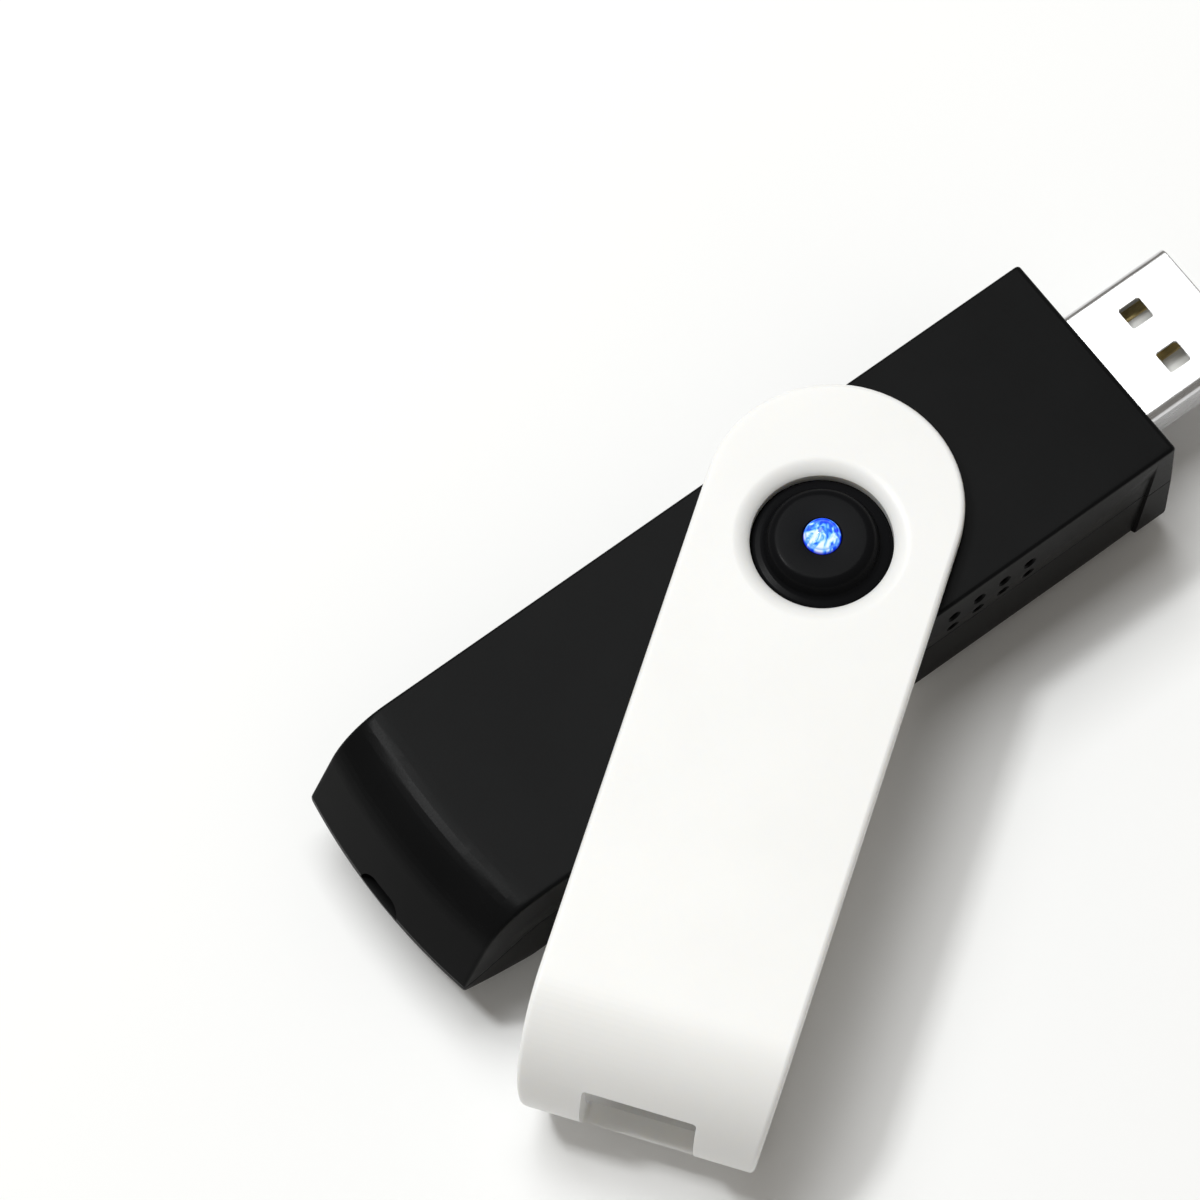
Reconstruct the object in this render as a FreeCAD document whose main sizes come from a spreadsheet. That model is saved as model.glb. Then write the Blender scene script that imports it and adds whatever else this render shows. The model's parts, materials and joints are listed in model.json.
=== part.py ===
"""Parametric model of a USB-stick air ioniser with a U-shaped swivel cover.

Frame: +X points out of the USB plug, +Z is up and the origin is the centre of the
front face, on the axis of the plug.  All lengths are in millimetres.
"""
import FreeCAD, Part
import math
import os
import re

import Sketcher

Vector = FreeCAD.Vector
DOC = FreeCAD.newDocument("ioniser")
UP = Vector(0, 0, 1)

# Driving dimensions: every sub-part is sized from these cells of the sheet.
DIMENSIONS = {
    # case shells
    "case_width": 21.0,
    "case_half_height": 6.6,
    "pivot_back": 28.9,
    "tip_back": 45.5,
    "tip_bow_radius": 60.0,
    "tip_level": 2.2,
    "tip_flat": 0.4,
    "tip_flat_low": 0.6,
    "slope_top_back": 41.8,
    "bevel_back": 38.5,
    "parting_bend_back": 38.0,
    "upper_wall": 1.4,
    "lower_wall": 2.0,
    "front_wall": 1.5,
    "skin": 1.5,
    "cavity_back": 36.6,
    "shoulder_radius": 6.0,
    "bevel_radius": 4.0,
    "edge_radius": 0.5,
    "lip_height": 0.8,
    "lip_thickness": 0.55,
    "side_draft": 0.3,
    "side_draft_front": 3.2,
    "side_draft_back": 35.5,
    "margin": 4.0,
    # vents and ion outlet
    "vent_radius": 0.5,
    "vent_pitch": 2.63,
    "vent_first_front": 5.76,
    "vent_upper_level": 3.75,
    "vent_lower_level": 1.55,
    "outlet_half_width": 2.45,
    "outlet_radius": 1.5,
    "outlet_lip": 2.6,
    # hubs of the swivel
    "hub_radius": 5.85,
    "hub_rim_height": 0.95,
    "hub_rim_radius": 0.4,
    "hub_neck_radius": 4.9,
    "plateau_radius": 4.1,
    "plateau_height": 2.5,
    "plateau_height_low": 1.85,
    "plateau_edge": 0.5,
    "stem_radius": 3.4,
    "stem_gap": 0.04,
    "stem_depth": 1.6,
    "lens_bore_radius": 1.58,
    # swivel cover
    "cover_angle": 215.4,
    "cover_gap": 0.35,
    "cover_plate": 1.7,
    "cover_reach": 50.7,
    "cover_half_width": 10.75,
    "cover_half_width_low": 9.35,
    "round_end_offset": 3.4,
    "hub_running_gap": 0.08,
    "hub_land": 0.6,
    "recess_radius": 7.25,
    "slot_width": 9.6,
    "slot_height": 7.4,
    # USB plug
    "plug_width": 12.0,
    "plug_height": 4.5,
    "plug_reach": 12.0,
    "plug_inside": 6.5,
    "plug_sheet": 0.3,
    "plug_window": 2.2,
    "plug_window_pitch": 5.0,
    "plug_window_inset": 5.6,
    "tongue_height": 1.85,
    "tongue_recess": 0.4,
    "tongue_block": 8.5,
    "contact_width": 1.0,
    "contact_inner": 1.0,
    "contact_outer": 3.5,
    "contact_length": 7.4,
    "contact_length_inner": 6.4,
    "contact_sheet": 0.15,
    # board
    "board_thickness": 1.0,
    "board_top": 2.3,
    "board_half_width": 8.1,
    "board_front": 2.2,
    "board_back": 62.5,
    "post_radius": 1.1,
    "post_front": 11.0,
    "post_rear": 58.0,
    "post_half_pitch": 6.4,
    # indicator diode
    "diode_radius": 1.5,
    "diode_rim_radius": 1.9,
    "diode_rim_height": 1.0,
    "diode_base": 4.0,
    "diode_top": 10.4,
    "lead_size": 0.5,
    "lead_half_pitch": 1.27,
    # high-voltage parts on the board
    "transformer_back": 44.0,
    "transformer_length": 7.0,
    "transformer_width": 8.0,
    "transformer_height": 5.6,
    "core_leg": 1.2,
    "core_middle_radius": 1.3,
    "bobbin_flange": 0.5,
    "winding_radius": 2.7,
    "disc_radius": 2.2,
    "disc_thickness": 1.4,
    "disc_pitch": 3.6,
    "disc_first_back": 51.6,
    "axial_radius": 0.95,
    "axial_length": 4.0,
    "axial_lead_radius": 0.25,
    "ballast_radius": 1.1,
    "ballast_length": 6.0,
    "capacitor_radius": 2.0,
    "capacitor_length": 6.4,
    "capacitor_back": 15.5,
    "capacitor_offset": 4.0,
    "transistor_radius": 2.2,
    "transistor_height": 4.6,
    "transistor_back": 21.5,
    "transistor_offset": 4.0,
    "transistor_flat": 1.0,
    "chip_length": 1.6,
    "chip_width": 0.8,
    "chip_height": 0.5,
    "chip_pitch": 2.5,
    "chip_first_back": 9.0,
    "chip_offset": 5.5,
    # emitter
    "holder_radius": 1.05,
    "holder_length": 2.6,
    "holder_front_back": 38.4,
    "needle_radius": 0.4,
    "needle_length": 5.8,
    "needle_point": 1.6,
    "wire_radius": 0.6,
    "wire_length": 2.75,
    "needle_back": 2.0,
    "needle_tip_radius": 0.05,
    # small gaps and offsets
    "plug_gap": 0.05,
    "part_gap": 0.05,
    "bobbin_wall": 0.4,
    "axial_lead_reach": 0.7,
    "axial_step": 5.6,
    "disc_offset": 4.4,
    "diode_row_inner": 1.1,
    "diode_row_outer": 3.6,
    "ballast_back": 36.0,
    "ballast_offset": 3.4,
}

SHEET = DOC.addObject("Spreadsheet::Sheet", "Dimensions")
for row, (alias, value) in enumerate(DIMENSIONS.items(), start=1):
    SHEET.set("A%d" % row, alias)
    SHEET.set("B%d" % row, "%.6g" % value)
    SHEET.setAlias("B%d" % row, alias)
DOC.recompute()

NODES = []
VENTS_IN_ROW = 4
DISCS = 4
CHIPS = 5
FIT = 0.01  # how far two sizes may differ and still be the same


# ------------------------------------------------------------------- helpers
def cell(expression):
    """Point each alias in an expression at its cell in the sheet."""

    def in_sheet(found):
        word = found.group()
        return "Dimensions." + word if word in DIMENSIONS else word

    return re.sub(r"[a-z][a-z_]*", in_sheet, expression)


def size(expression):
    """Work out an expression of aliases, in millimetres."""
    return float(SHEET.evalExpression(expression))


def bind(thing, **settings):
    """Bind properties of an object to expressions of the sheet's aliases."""
    for name, expression in settings.items():
        thing.setExpression(name, cell(expression))


def new_body(label):
    """Start a sub-part: its label is also the name of its file."""
    body = DOC.addObject("PartDesign::Body", label)
    body.Label = label
    NODES.append(body)
    return body


def new_sketch(body, name, role, offset=None):
    """Start a sketch on an origin plane of the body, moved along its normal."""
    sketch = body.newObject("Sketcher::SketchObject", body.Label + "_" + name)
    plane = next(feature for feature in body.Origin.OriginFeatures if feature.Role == role)
    sketch.AttachmentSupport = [(plane, "")]
    sketch.MapMode = "FlatFace"
    if offset is not None:
        sketch.setExpression("AttachmentOffset.Base.z", cell(offset))
    return sketch


def pin(sketch, edge, point, across, along):
    """Fix a point of a sketch at two distances from the sketch's origin."""
    for kind, expression in (("DistanceX", across), ("DistanceY", along)):
        index = sketch.addConstraint(Sketcher.Constraint(kind, -1, 1, edge, point, size(expression)))
        sketch.setExpression("Constraints[%d]" % index, cell(expression))


def polygon(sketch, corners):
    """Draw a closed outline whose corners are pairs of expressions."""
    points = [Vector(size(across), size(along), 0) for across, along in corners]
    first = sketch.GeometryCount
    for start, end in zip(points, points[1:] + points[:1]):
        sketch.addGeometry(Part.LineSegment(start, end), False)
    for place, (across, along) in enumerate(corners):
        before = first + (place - 1) % len(corners)
        sketch.addConstraint(Sketcher.Constraint("Coincident", before, 2, first + place, 1))
        pin(sketch, first + place, 1, across, along)


def box_outline(sketch, low, high):
    """Draw a rectangle between two corners, each a pair of expressions."""
    polygon(sketch, [low, (high[0], low[1]), high, (low[0], high[1])])


def round_outline(sketch, across, along, radius):
    """Draw a circle whose centre and radius are expressions."""
    centre = Vector(size(across), size(along), 0)
    edge = sketch.addGeometry(Part.Circle(centre, UP, size(radius)), False)
    pin(sketch, edge, 3, across, along)
    index = sketch.addConstraint(Sketcher.Constraint("Radius", edge, size(radius)))
    sketch.setExpression("Constraints[%d]" % index, cell(radius))


def obround(sketch, level, half_width, radius):
    """Draw a slot with round ends, centred at a level of the sketch."""
    run = "(%s - %s)" % (half_width, radius)
    corners = []
    for side, lift in (("", "-"), ("", ""), ("-", ""), ("-", "-")):
        corners.append((side + run, "%s + %s%s" % (level, lift, radius)))
    places = [Vector(size(across), size(along), 0) for across, along in corners]
    for start, end in ((1, 2), (3, 0)):
        edge = sketch.addGeometry(Part.LineSegment(places[start], places[end]), False)
        pin(sketch, edge, 1, *corners[start])
        pin(sketch, edge, 2, *corners[end])
    for side, turn, ends in (("", -90, (1, 0)), ("-", 90, (0, 1))):
        bend = arc(sketch, (side + run, level), radius, turn, turn + 180)
        sketch.addConstraint(Sketcher.Constraint("Coincident", bend, 1, ends[0], 2))
        sketch.addConstraint(Sketcher.Constraint("Coincident", bend, 2, ends[1], 1))


def pad(body, sketch, length, both=False, back=False):
    """Pad a sketch to a length, on both sides of it or backwards."""
    feature = body.newObject("PartDesign::Pad", sketch.Name + "_pad")
    feature.Profile = sketch
    feature.SideType = "Symmetric" if both else "One side"
    feature.Reversed = back
    bind(feature, Length=length)
    return feature


def pocket(body, sketch, length, both=False, back=False):
    """Cut a sketch out to a length and make sure that it removes material."""
    DOC.recompute()
    before = body.Shape.Volume
    feature = body.newObject("PartDesign::Pocket", sketch.Name + "_pocket")
    feature.Profile = sketch
    feature.SideType = "Symmetric" if both else "One side"
    feature.Reversed = back
    bind(feature, Length=length)
    DOC.recompute()
    if body.Shape.Volume >= before:
        raise ValueError(feature.Name + " removes nothing")
    return feature


def upright_axis(sketch, across, low, high):
    """Draw the construction line that a profile turns about, as its first axis."""
    ends = [Vector(size(across), size(level), 0) for level in (low, high)]
    edge = sketch.addGeometry(Part.LineSegment(*ends), True)
    for point, level in ((1, low), (2, high)):
        pin(sketch, edge, point, across, level)
    return "Axis0"


def turn(body, sketch, axis="V_Axis", kind="PartDesign::Revolution"):
    """Turn a sketch a whole turn about one of its own axes."""
    feature = body.newObject(kind, sketch.Name + "_turn")
    feature.Profile = sketch
    feature.ReferenceAxis = (sketch, [axis])
    feature.Angle = 360
    return feature


def arc(sketch, centre, radius, start, end):
    """Draw an arc between two angles in degrees and return its number."""
    middle = Vector(size(centre[0]), size(centre[1]), 0)
    angles = [math.radians(angle) for angle in (start, end)]
    return sketch.addGeometry(Part.ArcOfCircle(Part.Circle(middle, UP, size(radius)), *angles), False)


def round_edges(body, radius, wanted):
    """Fillet the edges of a body's solid that a test picks out."""
    DOC.recompute()
    edges = body.Shape.Edges
    names = ["Edge%d" % (place + 1) for place, edge in enumerate(edges) if wanted(edge)]
    if not names:
        raise ValueError(body.Label + " has no such edge to round")
    solid = body.Tip
    feature = body.newObject("PartDesign::Fillet", body.Label + "_rounding")
    feature.Base = (solid, names)
    bind(feature, Radius=radius)
    DOC.recompute()
    if "Invalid" in feature.State:
        raise ValueError(feature.Name + " failed")


def solids(label, kind_sizes):
    """Make one sub-part of several Part primitives, placed and then fused."""
    pieces = []
    for kind, sizes, place, turn in kind_sizes:
        piece = DOC.addObject("Part::" + kind, label + "_" + kind.lower())
        bind(piece, **sizes)
        piece.Placement = FreeCAD.Placement(Vector(), turn)
        for axis, expression in zip("xyz", place):
            piece.setExpression("Placement.Base." + axis, cell(expression))
        pieces.append(piece)
    if len(pieces) == 1:
        group = pieces[0]
    else:
        group = DOC.addObject("Part::MultiFuse", label)
        group.Shapes = pieces
    group.Label = label
    NODES.append(group)
    return group


UPRIGHT = FreeCAD.Rotation()
ALONG_X = FreeCAD.Rotation(Vector(0, 1, 0), 90)
BACKWARDS = FreeCAD.Rotation(Vector(0, 1, 0), -90)
AXIS = "-(pivot_back + tip_back - tip_bow_radius)"
TIP = "-(pivot_back + tip_back)"
PIVOT = "-pivot_back"
BOARD = "-board_top"


# ---------------------------------------------------------------------- case
def turned_case(body, corners):
    """Turn a side profile about the far axis that bows the end, then trim it in plan."""
    sketch = new_sketch(body, "profile", "XZ_Plane")
    polygon(sketch, corners)
    axis = upright_axis(sketch, AXIS, "-case_half_height", "case_half_height")
    turn(body, sketch, axis)
    frame = new_sketch(body, "plan", "XY_Plane")
    far = "(tip_bow_radius + margin)"
    box_outline(frame, (TIP + " - margin", "-" + far), (far, far))
    box_outline(frame, (TIP + " - margin / 2", "-case_width / 2"), ("0", "case_width / 2"))
    pocket(body, frame, "2 * (case_half_height + margin)", both=True)


def open_ends(body, outlet_start):
    """Cut the plug's opening, and the outlet's channel from a place along the case."""
    opening = new_sketch(body, "plug_opening", "YZ_Plane")
    half = ("plug_width / 2 + plug_gap", "plug_height / 2 + plug_gap")
    box_outline(opening, tuple("-(%s)" % value for value in half), half)
    pocket(body, opening, "2 * front_wall", both=False)
    outlet = new_sketch(body, "outlet", "YZ_Plane", outlet_start)
    obround(outlet, "-tip_level", "outlet_half_width", "outlet_radius")
    pocket(body, outlet, "-(pivot_back + cavity_back) + skin - (%s)" % outlet_start, back=True)


def hub_hole(body, upper):
    """Cut the hole that the stem of a hub cap is pressed into."""
    hole = new_sketch(body, "hub_hole", "XY_Plane")
    round_outline(hole, PIVOT, "0", "stem_radius + stem_gap")
    pocket(body, hole, "case_half_height + margin", back=upper)


def on_outline(edge, level):
    """Tell whether an edge is part of a shell's outer rim on its flat face."""
    box = edge.BoundBox
    half_width = size("case_width / 2")
    side = abs(abs(edge.CenterOfMass.y) - half_width) < FIT and box.YLength < FIT
    front = abs(box.XMin) < FIT and abs(box.XMax) < FIT
    at_level = abs(box.ZMin - level) < FIT and abs(box.ZMax - level) < FIT
    return at_level and (side or front)


def build_upper_case():
    """Model the upper shell: flat top, sloped end, vents and half of each opening."""
    body = new_body("upper_case")
    top = "case_half_height"
    slope_top = "-(pivot_back + slope_top_back)"
    bend = "-(pivot_back + parting_bend_back)"
    profile = [(AXIS, "0"), (AXIS, top), (slope_top, top), (TIP, "tip_flat - tip_level")]
    turned_case(body, profile + [(TIP, "-tip_level"), (bend, "0")])
    round_edges(body, "shoulder_radius", lambda edge: is_level(edge, size(top), size(slope_top)))
    cavity = new_sketch(body, "cavity", "XZ_Plane")
    back = "-(pivot_back + cavity_back)"
    ceiling = "case_half_height - skin"
    inside = [("-front_wall", "0"), ("-front_wall", ceiling), (back, ceiling)]
    polygon(cavity, inside + [(back + " - skin", "skin"), (back + " - skin", "0")])
    pocket(body, cavity, "case_width - 2 * upper_wall", both=True)
    open_ends(body, TIP + " - margin")
    hub_hole(body, True)
    vents = new_sketch(body, "vents", "XZ_Plane")
    for place in range(VENTS_IN_ROW):
        across = "-pivot_back + vent_first_front + %d * vent_pitch" % place
        round_outline(vents, across, "vent_upper_level", "vent_radius")
        round_outline(vents, across, "vent_lower_level", "vent_radius")
    pocket(body, vents, "case_width + margin", both=True)
    round_edges(body, "edge_radius", lambda edge: on_outline(edge, size(top)))


def is_level(edge, level, back):
    """Tell whether an edge crosses the case at a level, at a place along it or beyond."""
    box = edge.BoundBox
    crosses = box.YLength > size("shoulder_radius") and box.XMax < back + size("lower_wall")
    return crosses and abs(box.ZMin - level) < FIT and box.ZLength < FIT


def build_lower_case():
    """Model the lower shell: drafted sides, bevelled end, outlet lip, lips and board posts."""
    body = new_body("lower_case")
    floor = "-case_half_height"
    bevel = "-(pivot_back + bevel_back)"
    bend = "-(pivot_back + parting_bend_back)"
    profile = [(AXIS, floor), (bevel, floor), (TIP, "-tip_level - tip_flat_low"), (TIP, "-tip_level")]
    turned_case(body, profile + [(bend, "0"), (AXIS, "0")])
    round_edges(body, "bevel_radius", lambda edge: is_level(edge, size(floor), size(bevel)))
    draft = new_sketch(body, "draft", "YZ_Plane", "-side_draft_front")
    deep = "-(case_half_height + margin)"
    for side in ("", "-"):
        edge = side + "(case_width / 2)"
        outer = side + "(case_width / 2 + margin)"
        inner = side + "(case_width / 2 - side_draft * (1 + margin / case_half_height))"
        polygon(draft, [(edge, "0"), (outer, "0"), (outer, deep), (inner, deep)])
    pocket(body, draft, "pivot_back + side_draft_back - side_draft_front")
    cavity = new_sketch(body, "cavity", "XZ_Plane")
    back = "-(pivot_back + cavity_back)"
    inside = [("-front_wall", "0"), (back, "0"), (back + " + skin", "skin - case_half_height")]
    polygon(cavity, inside + [("-front_wall", "skin - case_half_height")])
    pocket(body, cavity, "case_width - 2 * lower_wall", both=True)
    open_ends(body, TIP + " + outlet_lip")
    mouth = new_sketch(body, "mouth", "YZ_Plane", TIP + " - margin")
    box_outline(mouth, ("-outlet_half_width", "-tip_level"), ("outlet_half_width", "0"))
    pocket(body, mouth, "margin + outlet_lip", back=True)
    hub_hole(body, False)
    lips = new_sketch(body, "lips", "XY_Plane")
    for side in ("", "-"):
        inner = side + "(case_width / 2 - lower_wall)"
        outer = side + "(case_width / 2 - lower_wall + lip_thickness)"
        box_outline(lips, (back + " + margin", inner), ("-(front_wall + margin)", outer))
    pad(body, lips, "lip_height")
    posts = new_sketch(body, "posts", "XY_Plane", "skin - case_half_height")
    for along in ("-post_front", "-post_rear"):
        for side in ("", "-"):
            round_outline(posts, along, side + "post_half_pitch", "post_radius")
    pad(body, posts, "case_half_height - skin - board_top - board_thickness")
    round_edges(body, "edge_radius", lambda edge: on_front_rim(edge, size(floor)))


def on_front_rim(edge, level):
    """Tell whether an edge is the lower shell's front edge at its floor."""
    box = edge.BoundBox
    return abs(box.XMin) < FIT and abs(box.XMax) < FIT and abs(box.ZMax - level) < FIT


# --------------------------------------------------------------------- swivel
COVER_OUTER = "(case_half_height + cover_gap + cover_plate)"
COVER_INNER = "(case_half_height + cover_gap)"
COVER_BEND = "(cover_reach - case_half_height - cover_gap - cover_plate)"
COVER_BACK = "-(round_end_offset + cover_half_width)"


def cover_side_view(body):
    """Draw and pad the U of the cover: two plates joined by a half-round bend."""
    side = new_sketch(body, "side", "XZ_Plane")
    points = []
    for level in (COVER_OUTER, COVER_INNER):
        points += [(COVER_BACK, level), (COVER_BEND, level), (COVER_BEND, "-" + level), (COVER_BACK, "-" + level)]
    places = [Vector(size(across), size(level), 0) for across, level in points]
    for start, end in ((0, 1), (2, 3), (3, 7), (7, 6), (5, 4), (4, 0)):
        edge = side.addGeometry(Part.LineSegment(places[start], places[end]), False)
        for point, place in ((1, start), (2, end)):
            pin(side, edge, point, *points[place])
    for radius, bottom, top in ((COVER_OUTER, (1, 1), (0, 2)), (COVER_INNER, (3, 2), (4, 1))):
        bend = arc(side, (COVER_BEND, "0"), radius, -90, 90)
        side.addConstraint(Sketcher.Constraint("Coincident", bend, 1, *bottom))
        side.addConstraint(Sketcher.Constraint("Coincident", bend, 2, *top))
    pad(body, side, "2 * cover_half_width", both=True)


def taper_cover(body):
    """Narrow the cover between its plates, down to the width of the lower one."""
    taper = new_sketch(body, "taper", "YZ_Plane", COVER_BACK)
    deep = "-%s - margin" % COVER_OUTER
    for sign in ("", "-"):
        wide = sign + "cover_half_width"
        narrow = sign + "cover_half_width_low"
        clear = sign + "(cover_half_width + margin)"
        wedge = [(wide, COVER_INNER), (clear, COVER_INNER), (clear, deep)]
        polygon(taper, wedge + [(narrow, deep), (narrow, "-" + COVER_INNER)])
    pocket(body, taper, "cover_reach - (%s) + margin" % COVER_BACK, back=True)


def bore_cover(body):
    """Turn the hub holes, with their flared recesses, out of both plates."""
    holes = new_sketch(body, "hub_holes", "XZ_Plane")
    hole = "hub_radius + hub_running_gap"
    for sign in ("", "-"):
        low = "%s(%s - margin / 2)" % (sign, COVER_INNER)
        land = "%s(%s + hub_land)" % (sign, COVER_INNER)
        face = sign + COVER_OUTER
        clear = "%s(%s + margin)" % (sign, COVER_OUTER)
        rim = [("0", low), (hole, low), (hole, land), ("recess_radius", face)]
        polygon(holes, rim + [("recess_radius", clear), ("0", clear)])
    turn(body, holes, kind="PartDesign::Groove")


def build_cover():
    """Model the one-piece U-shaped cover, in its own frame with +X to its closed end."""
    body = new_body("swivel_cover")
    cover_side_view(body)
    taper_cover(body)
    for upper, radius in ((True, "cover_half_width"), (False, "cover_half_width_low")):
        trim_round_end(body, upper, radius)
    bore_cover(body)
    slot = new_sketch(body, "lanyard_slot", "YZ_Plane", COVER_BEND)
    half = ("slot_width / 2", "slot_height / 2")
    box_outline(slot, tuple("-" + value for value in half), half)
    pocket(body, slot, COVER_OUTER + " + margin", back=True)
    body.setExpression("Placement.Base.x", cell(PIVOT))
    body.setExpression("Placement.Rotation.Angle", cell("cover_angle"))


def trim_round_end(body, upper, radius):
    """Round the free end of one plate of the cover about a point behind the pivot."""
    sketch = new_sketch(body, "upper_end" if upper else "lower_end", "XY_Plane")
    start = "-round_end_offset"
    wide = "(cover_half_width + margin)"
    back = "-(round_end_offset + cover_half_width + margin)"
    corners = [(start, radius), (start, wide), (back, wide), (back, "-" + wide)]
    corners += [(start, "-" + wide), (start, "-" + radius)]
    places = [Vector(size(across), size(along), 0) for across, along in corners]
    for place in range(len(corners) - 1):
        edge = sketch.addGeometry(Part.LineSegment(places[place], places[place + 1]), False)
        pin(sketch, edge, 1, *corners[place])
        pin(sketch, edge, 2, *corners[place + 1])
    bend = arc(sketch, (start, "0"), radius, 90, 270)
    sketch.addConstraint(Sketcher.Constraint("Coincident", bend, 1, 0, 1))
    sketch.addConstraint(Sketcher.Constraint("Coincident", bend, 2, len(corners) - 2, 2))
    pocket(body, sketch, COVER_OUTER + " + margin", back=upper)


def build_hub_cap(label, sign, bore, plateau):
    """Model a hub cap: stem, rim that the cover turns on, and raised plateau."""
    body = new_body(label)
    sketch = new_sketch(body, "profile", "XZ_Plane")
    face = "case_half_height"
    rings = [(bore, "-stem_depth"), ("stem_radius", "-stem_depth"), ("stem_radius", "0")]
    rings += [("hub_radius", "0"), ("hub_radius", "hub_rim_height"), ("hub_neck_radius", "hub_rim_height")]
    rings += [("plateau_radius", plateau), (bore, plateau)]
    polygon(sketch, [(radius, sign + "(%s + %s)" % (face, level)) for radius, level in rings])
    turn(body, sketch)
    for radius, ring, level in (
        ("hub_rim_radius", "hub_radius", "hub_rim_height"),
        ("plateau_edge", "plateau_radius", plateau),
    ):
        wanted = (size(ring), size(sign + "(%s + %s)" % (face, level)))
        round_edges(body, radius, lambda edge: is_ring(edge, *wanted))
    body.setExpression("Placement.Base.x", cell(PIVOT))


def is_ring(edge, radius, level):
    """Tell whether an edge is a circle of a given radius at a given level."""
    box = edge.BoundBox
    return abs(box.XLength - 2 * radius) < FIT and abs(box.ZMin - level) < FIT and box.ZLength < FIT


# ------------------------------------------------------------------- USB plug
def build_plug_shell():
    """Model the plug's sheet-metal shell with its two latch windows on each side."""
    body = new_body("usb_shell")
    tube = new_sketch(body, "section", "YZ_Plane", "-plug_inside")
    outer = ("plug_width / 2", "plug_height / 2")
    inner = tuple(value + " - plug_sheet" for value in outer)
    for half in (outer, inner):
        box_outline(tube, tuple("-(%s)" % value for value in half), half)
    pad(body, tube, "plug_reach + plug_inside")
    windows = new_sketch(body, "windows", "XY_Plane")
    middle = "plug_reach - plug_window_inset"
    for side in ("-", ""):
        low = side + "plug_window_pitch / 2 - plug_window / 2"
        high = side + "plug_window_pitch / 2 + plug_window / 2"
        box_outline(windows, (middle + " - plug_window / 2", low), (middle + " + plug_window / 2", high))
    pocket(body, windows, "plug_height + margin", both=True)


def build_plug_inside():
    """Model what the plug's shell holds: the tongue on its block, and four contacts."""
    width = "plug_width - 2 * plug_sheet"
    bottom = "-(plug_height / 2 - plug_sheet)"
    place = ("-plug_inside", "-(%s) / 2" % width, bottom)
    length = "plug_reach + plug_inside - tongue_recess"
    tongue = {"Length": length, "Width": width, "Height": "tongue_height"}
    block = {"Length": "tongue_block", "Width": width, "Height": "plug_height - 2 * plug_sheet"}
    solids("usb_tongue", [("Box", tongue, place, UPRIGHT), ("Box", block, place, UPRIGHT)])
    front = "plug_reach - tongue_recess"
    strips = []
    for spot, reach in (("contact_inner", "contact_length_inner"), ("contact_outer", "contact_length")):
        sizes = {"Length": reach, "Width": "contact_width", "Height": "contact_sheet"}
        for side in ("-", ""):
            across = "%s%s - contact_width / 2" % (side, spot)
            place = (front + " - " + reach, across, bottom + " + tongue_height")
            strips.append(("Box", sizes, place, UPRIGHT))
    solids("usb_contacts", strips)


# ---------------------------------------------------------------- electronics
def build_board():
    """Model the circuit board that carries the plug and the high-voltage parts."""
    body = new_body("circuit_board")
    outline = new_sketch(body, "outline", "XY_Plane", BOARD)
    box_outline(outline, ("-board_back", "-board_half_width"), ("-board_front", "board_half_width"))
    pad(body, outline, "board_thickness", back=True)


def build_indicator():
    """Model the indicator diode under the upper hub cap, and its two leads."""
    rim = {"Radius": "diode_rim_radius", "Height": "diode_rim_height"}
    neck = {"Radius": "diode_radius", "Height": "diode_top - diode_radius - diode_base"}
    dome = {"Radius": "diode_radius"}
    top = (PIVOT, "0", "diode_top - diode_radius")
    base = (PIVOT, "0", "diode_base")
    parts = [("Cylinder", rim, base, UPRIGHT), ("Cylinder", neck, base, UPRIGHT)]
    solids("indicator_diode", parts + [("Sphere", dome, top, UPRIGHT)])
    lead = {"Length": "lead_size", "Width": "lead_size", "Height": "diode_base + board_top"}
    corner = PIVOT + " - lead_size / 2"
    sides = ("-lead_half_pitch - lead_size / 2", "lead_half_pitch - lead_size / 2")
    solids("diode_leads", [("Box", lead, (corner, side, BOARD), UPRIGHT) for side in sides])


def ring(label, radius, bore, height, place):
    """Make an upright ring of two cylinders at a place given by expressions."""
    for name, across in ((label, radius), (label + "_bore", bore)):
        cylinder = DOC.addObject("Part::Cylinder", name + "_solid")
        bind(cylinder, Radius=across, Height=height)
        for axis, expression in zip("xyz", place):
            cylinder.setExpression("Placement.Base." + axis, cell(expression))
    cut = DOC.addObject("Part::Cut", label)
    cut.Base = DOC.getObject(label + "_solid")
    cut.Tool = DOC.getObject(label + "_bore_solid")
    cut.Label = label
    return cut


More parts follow.
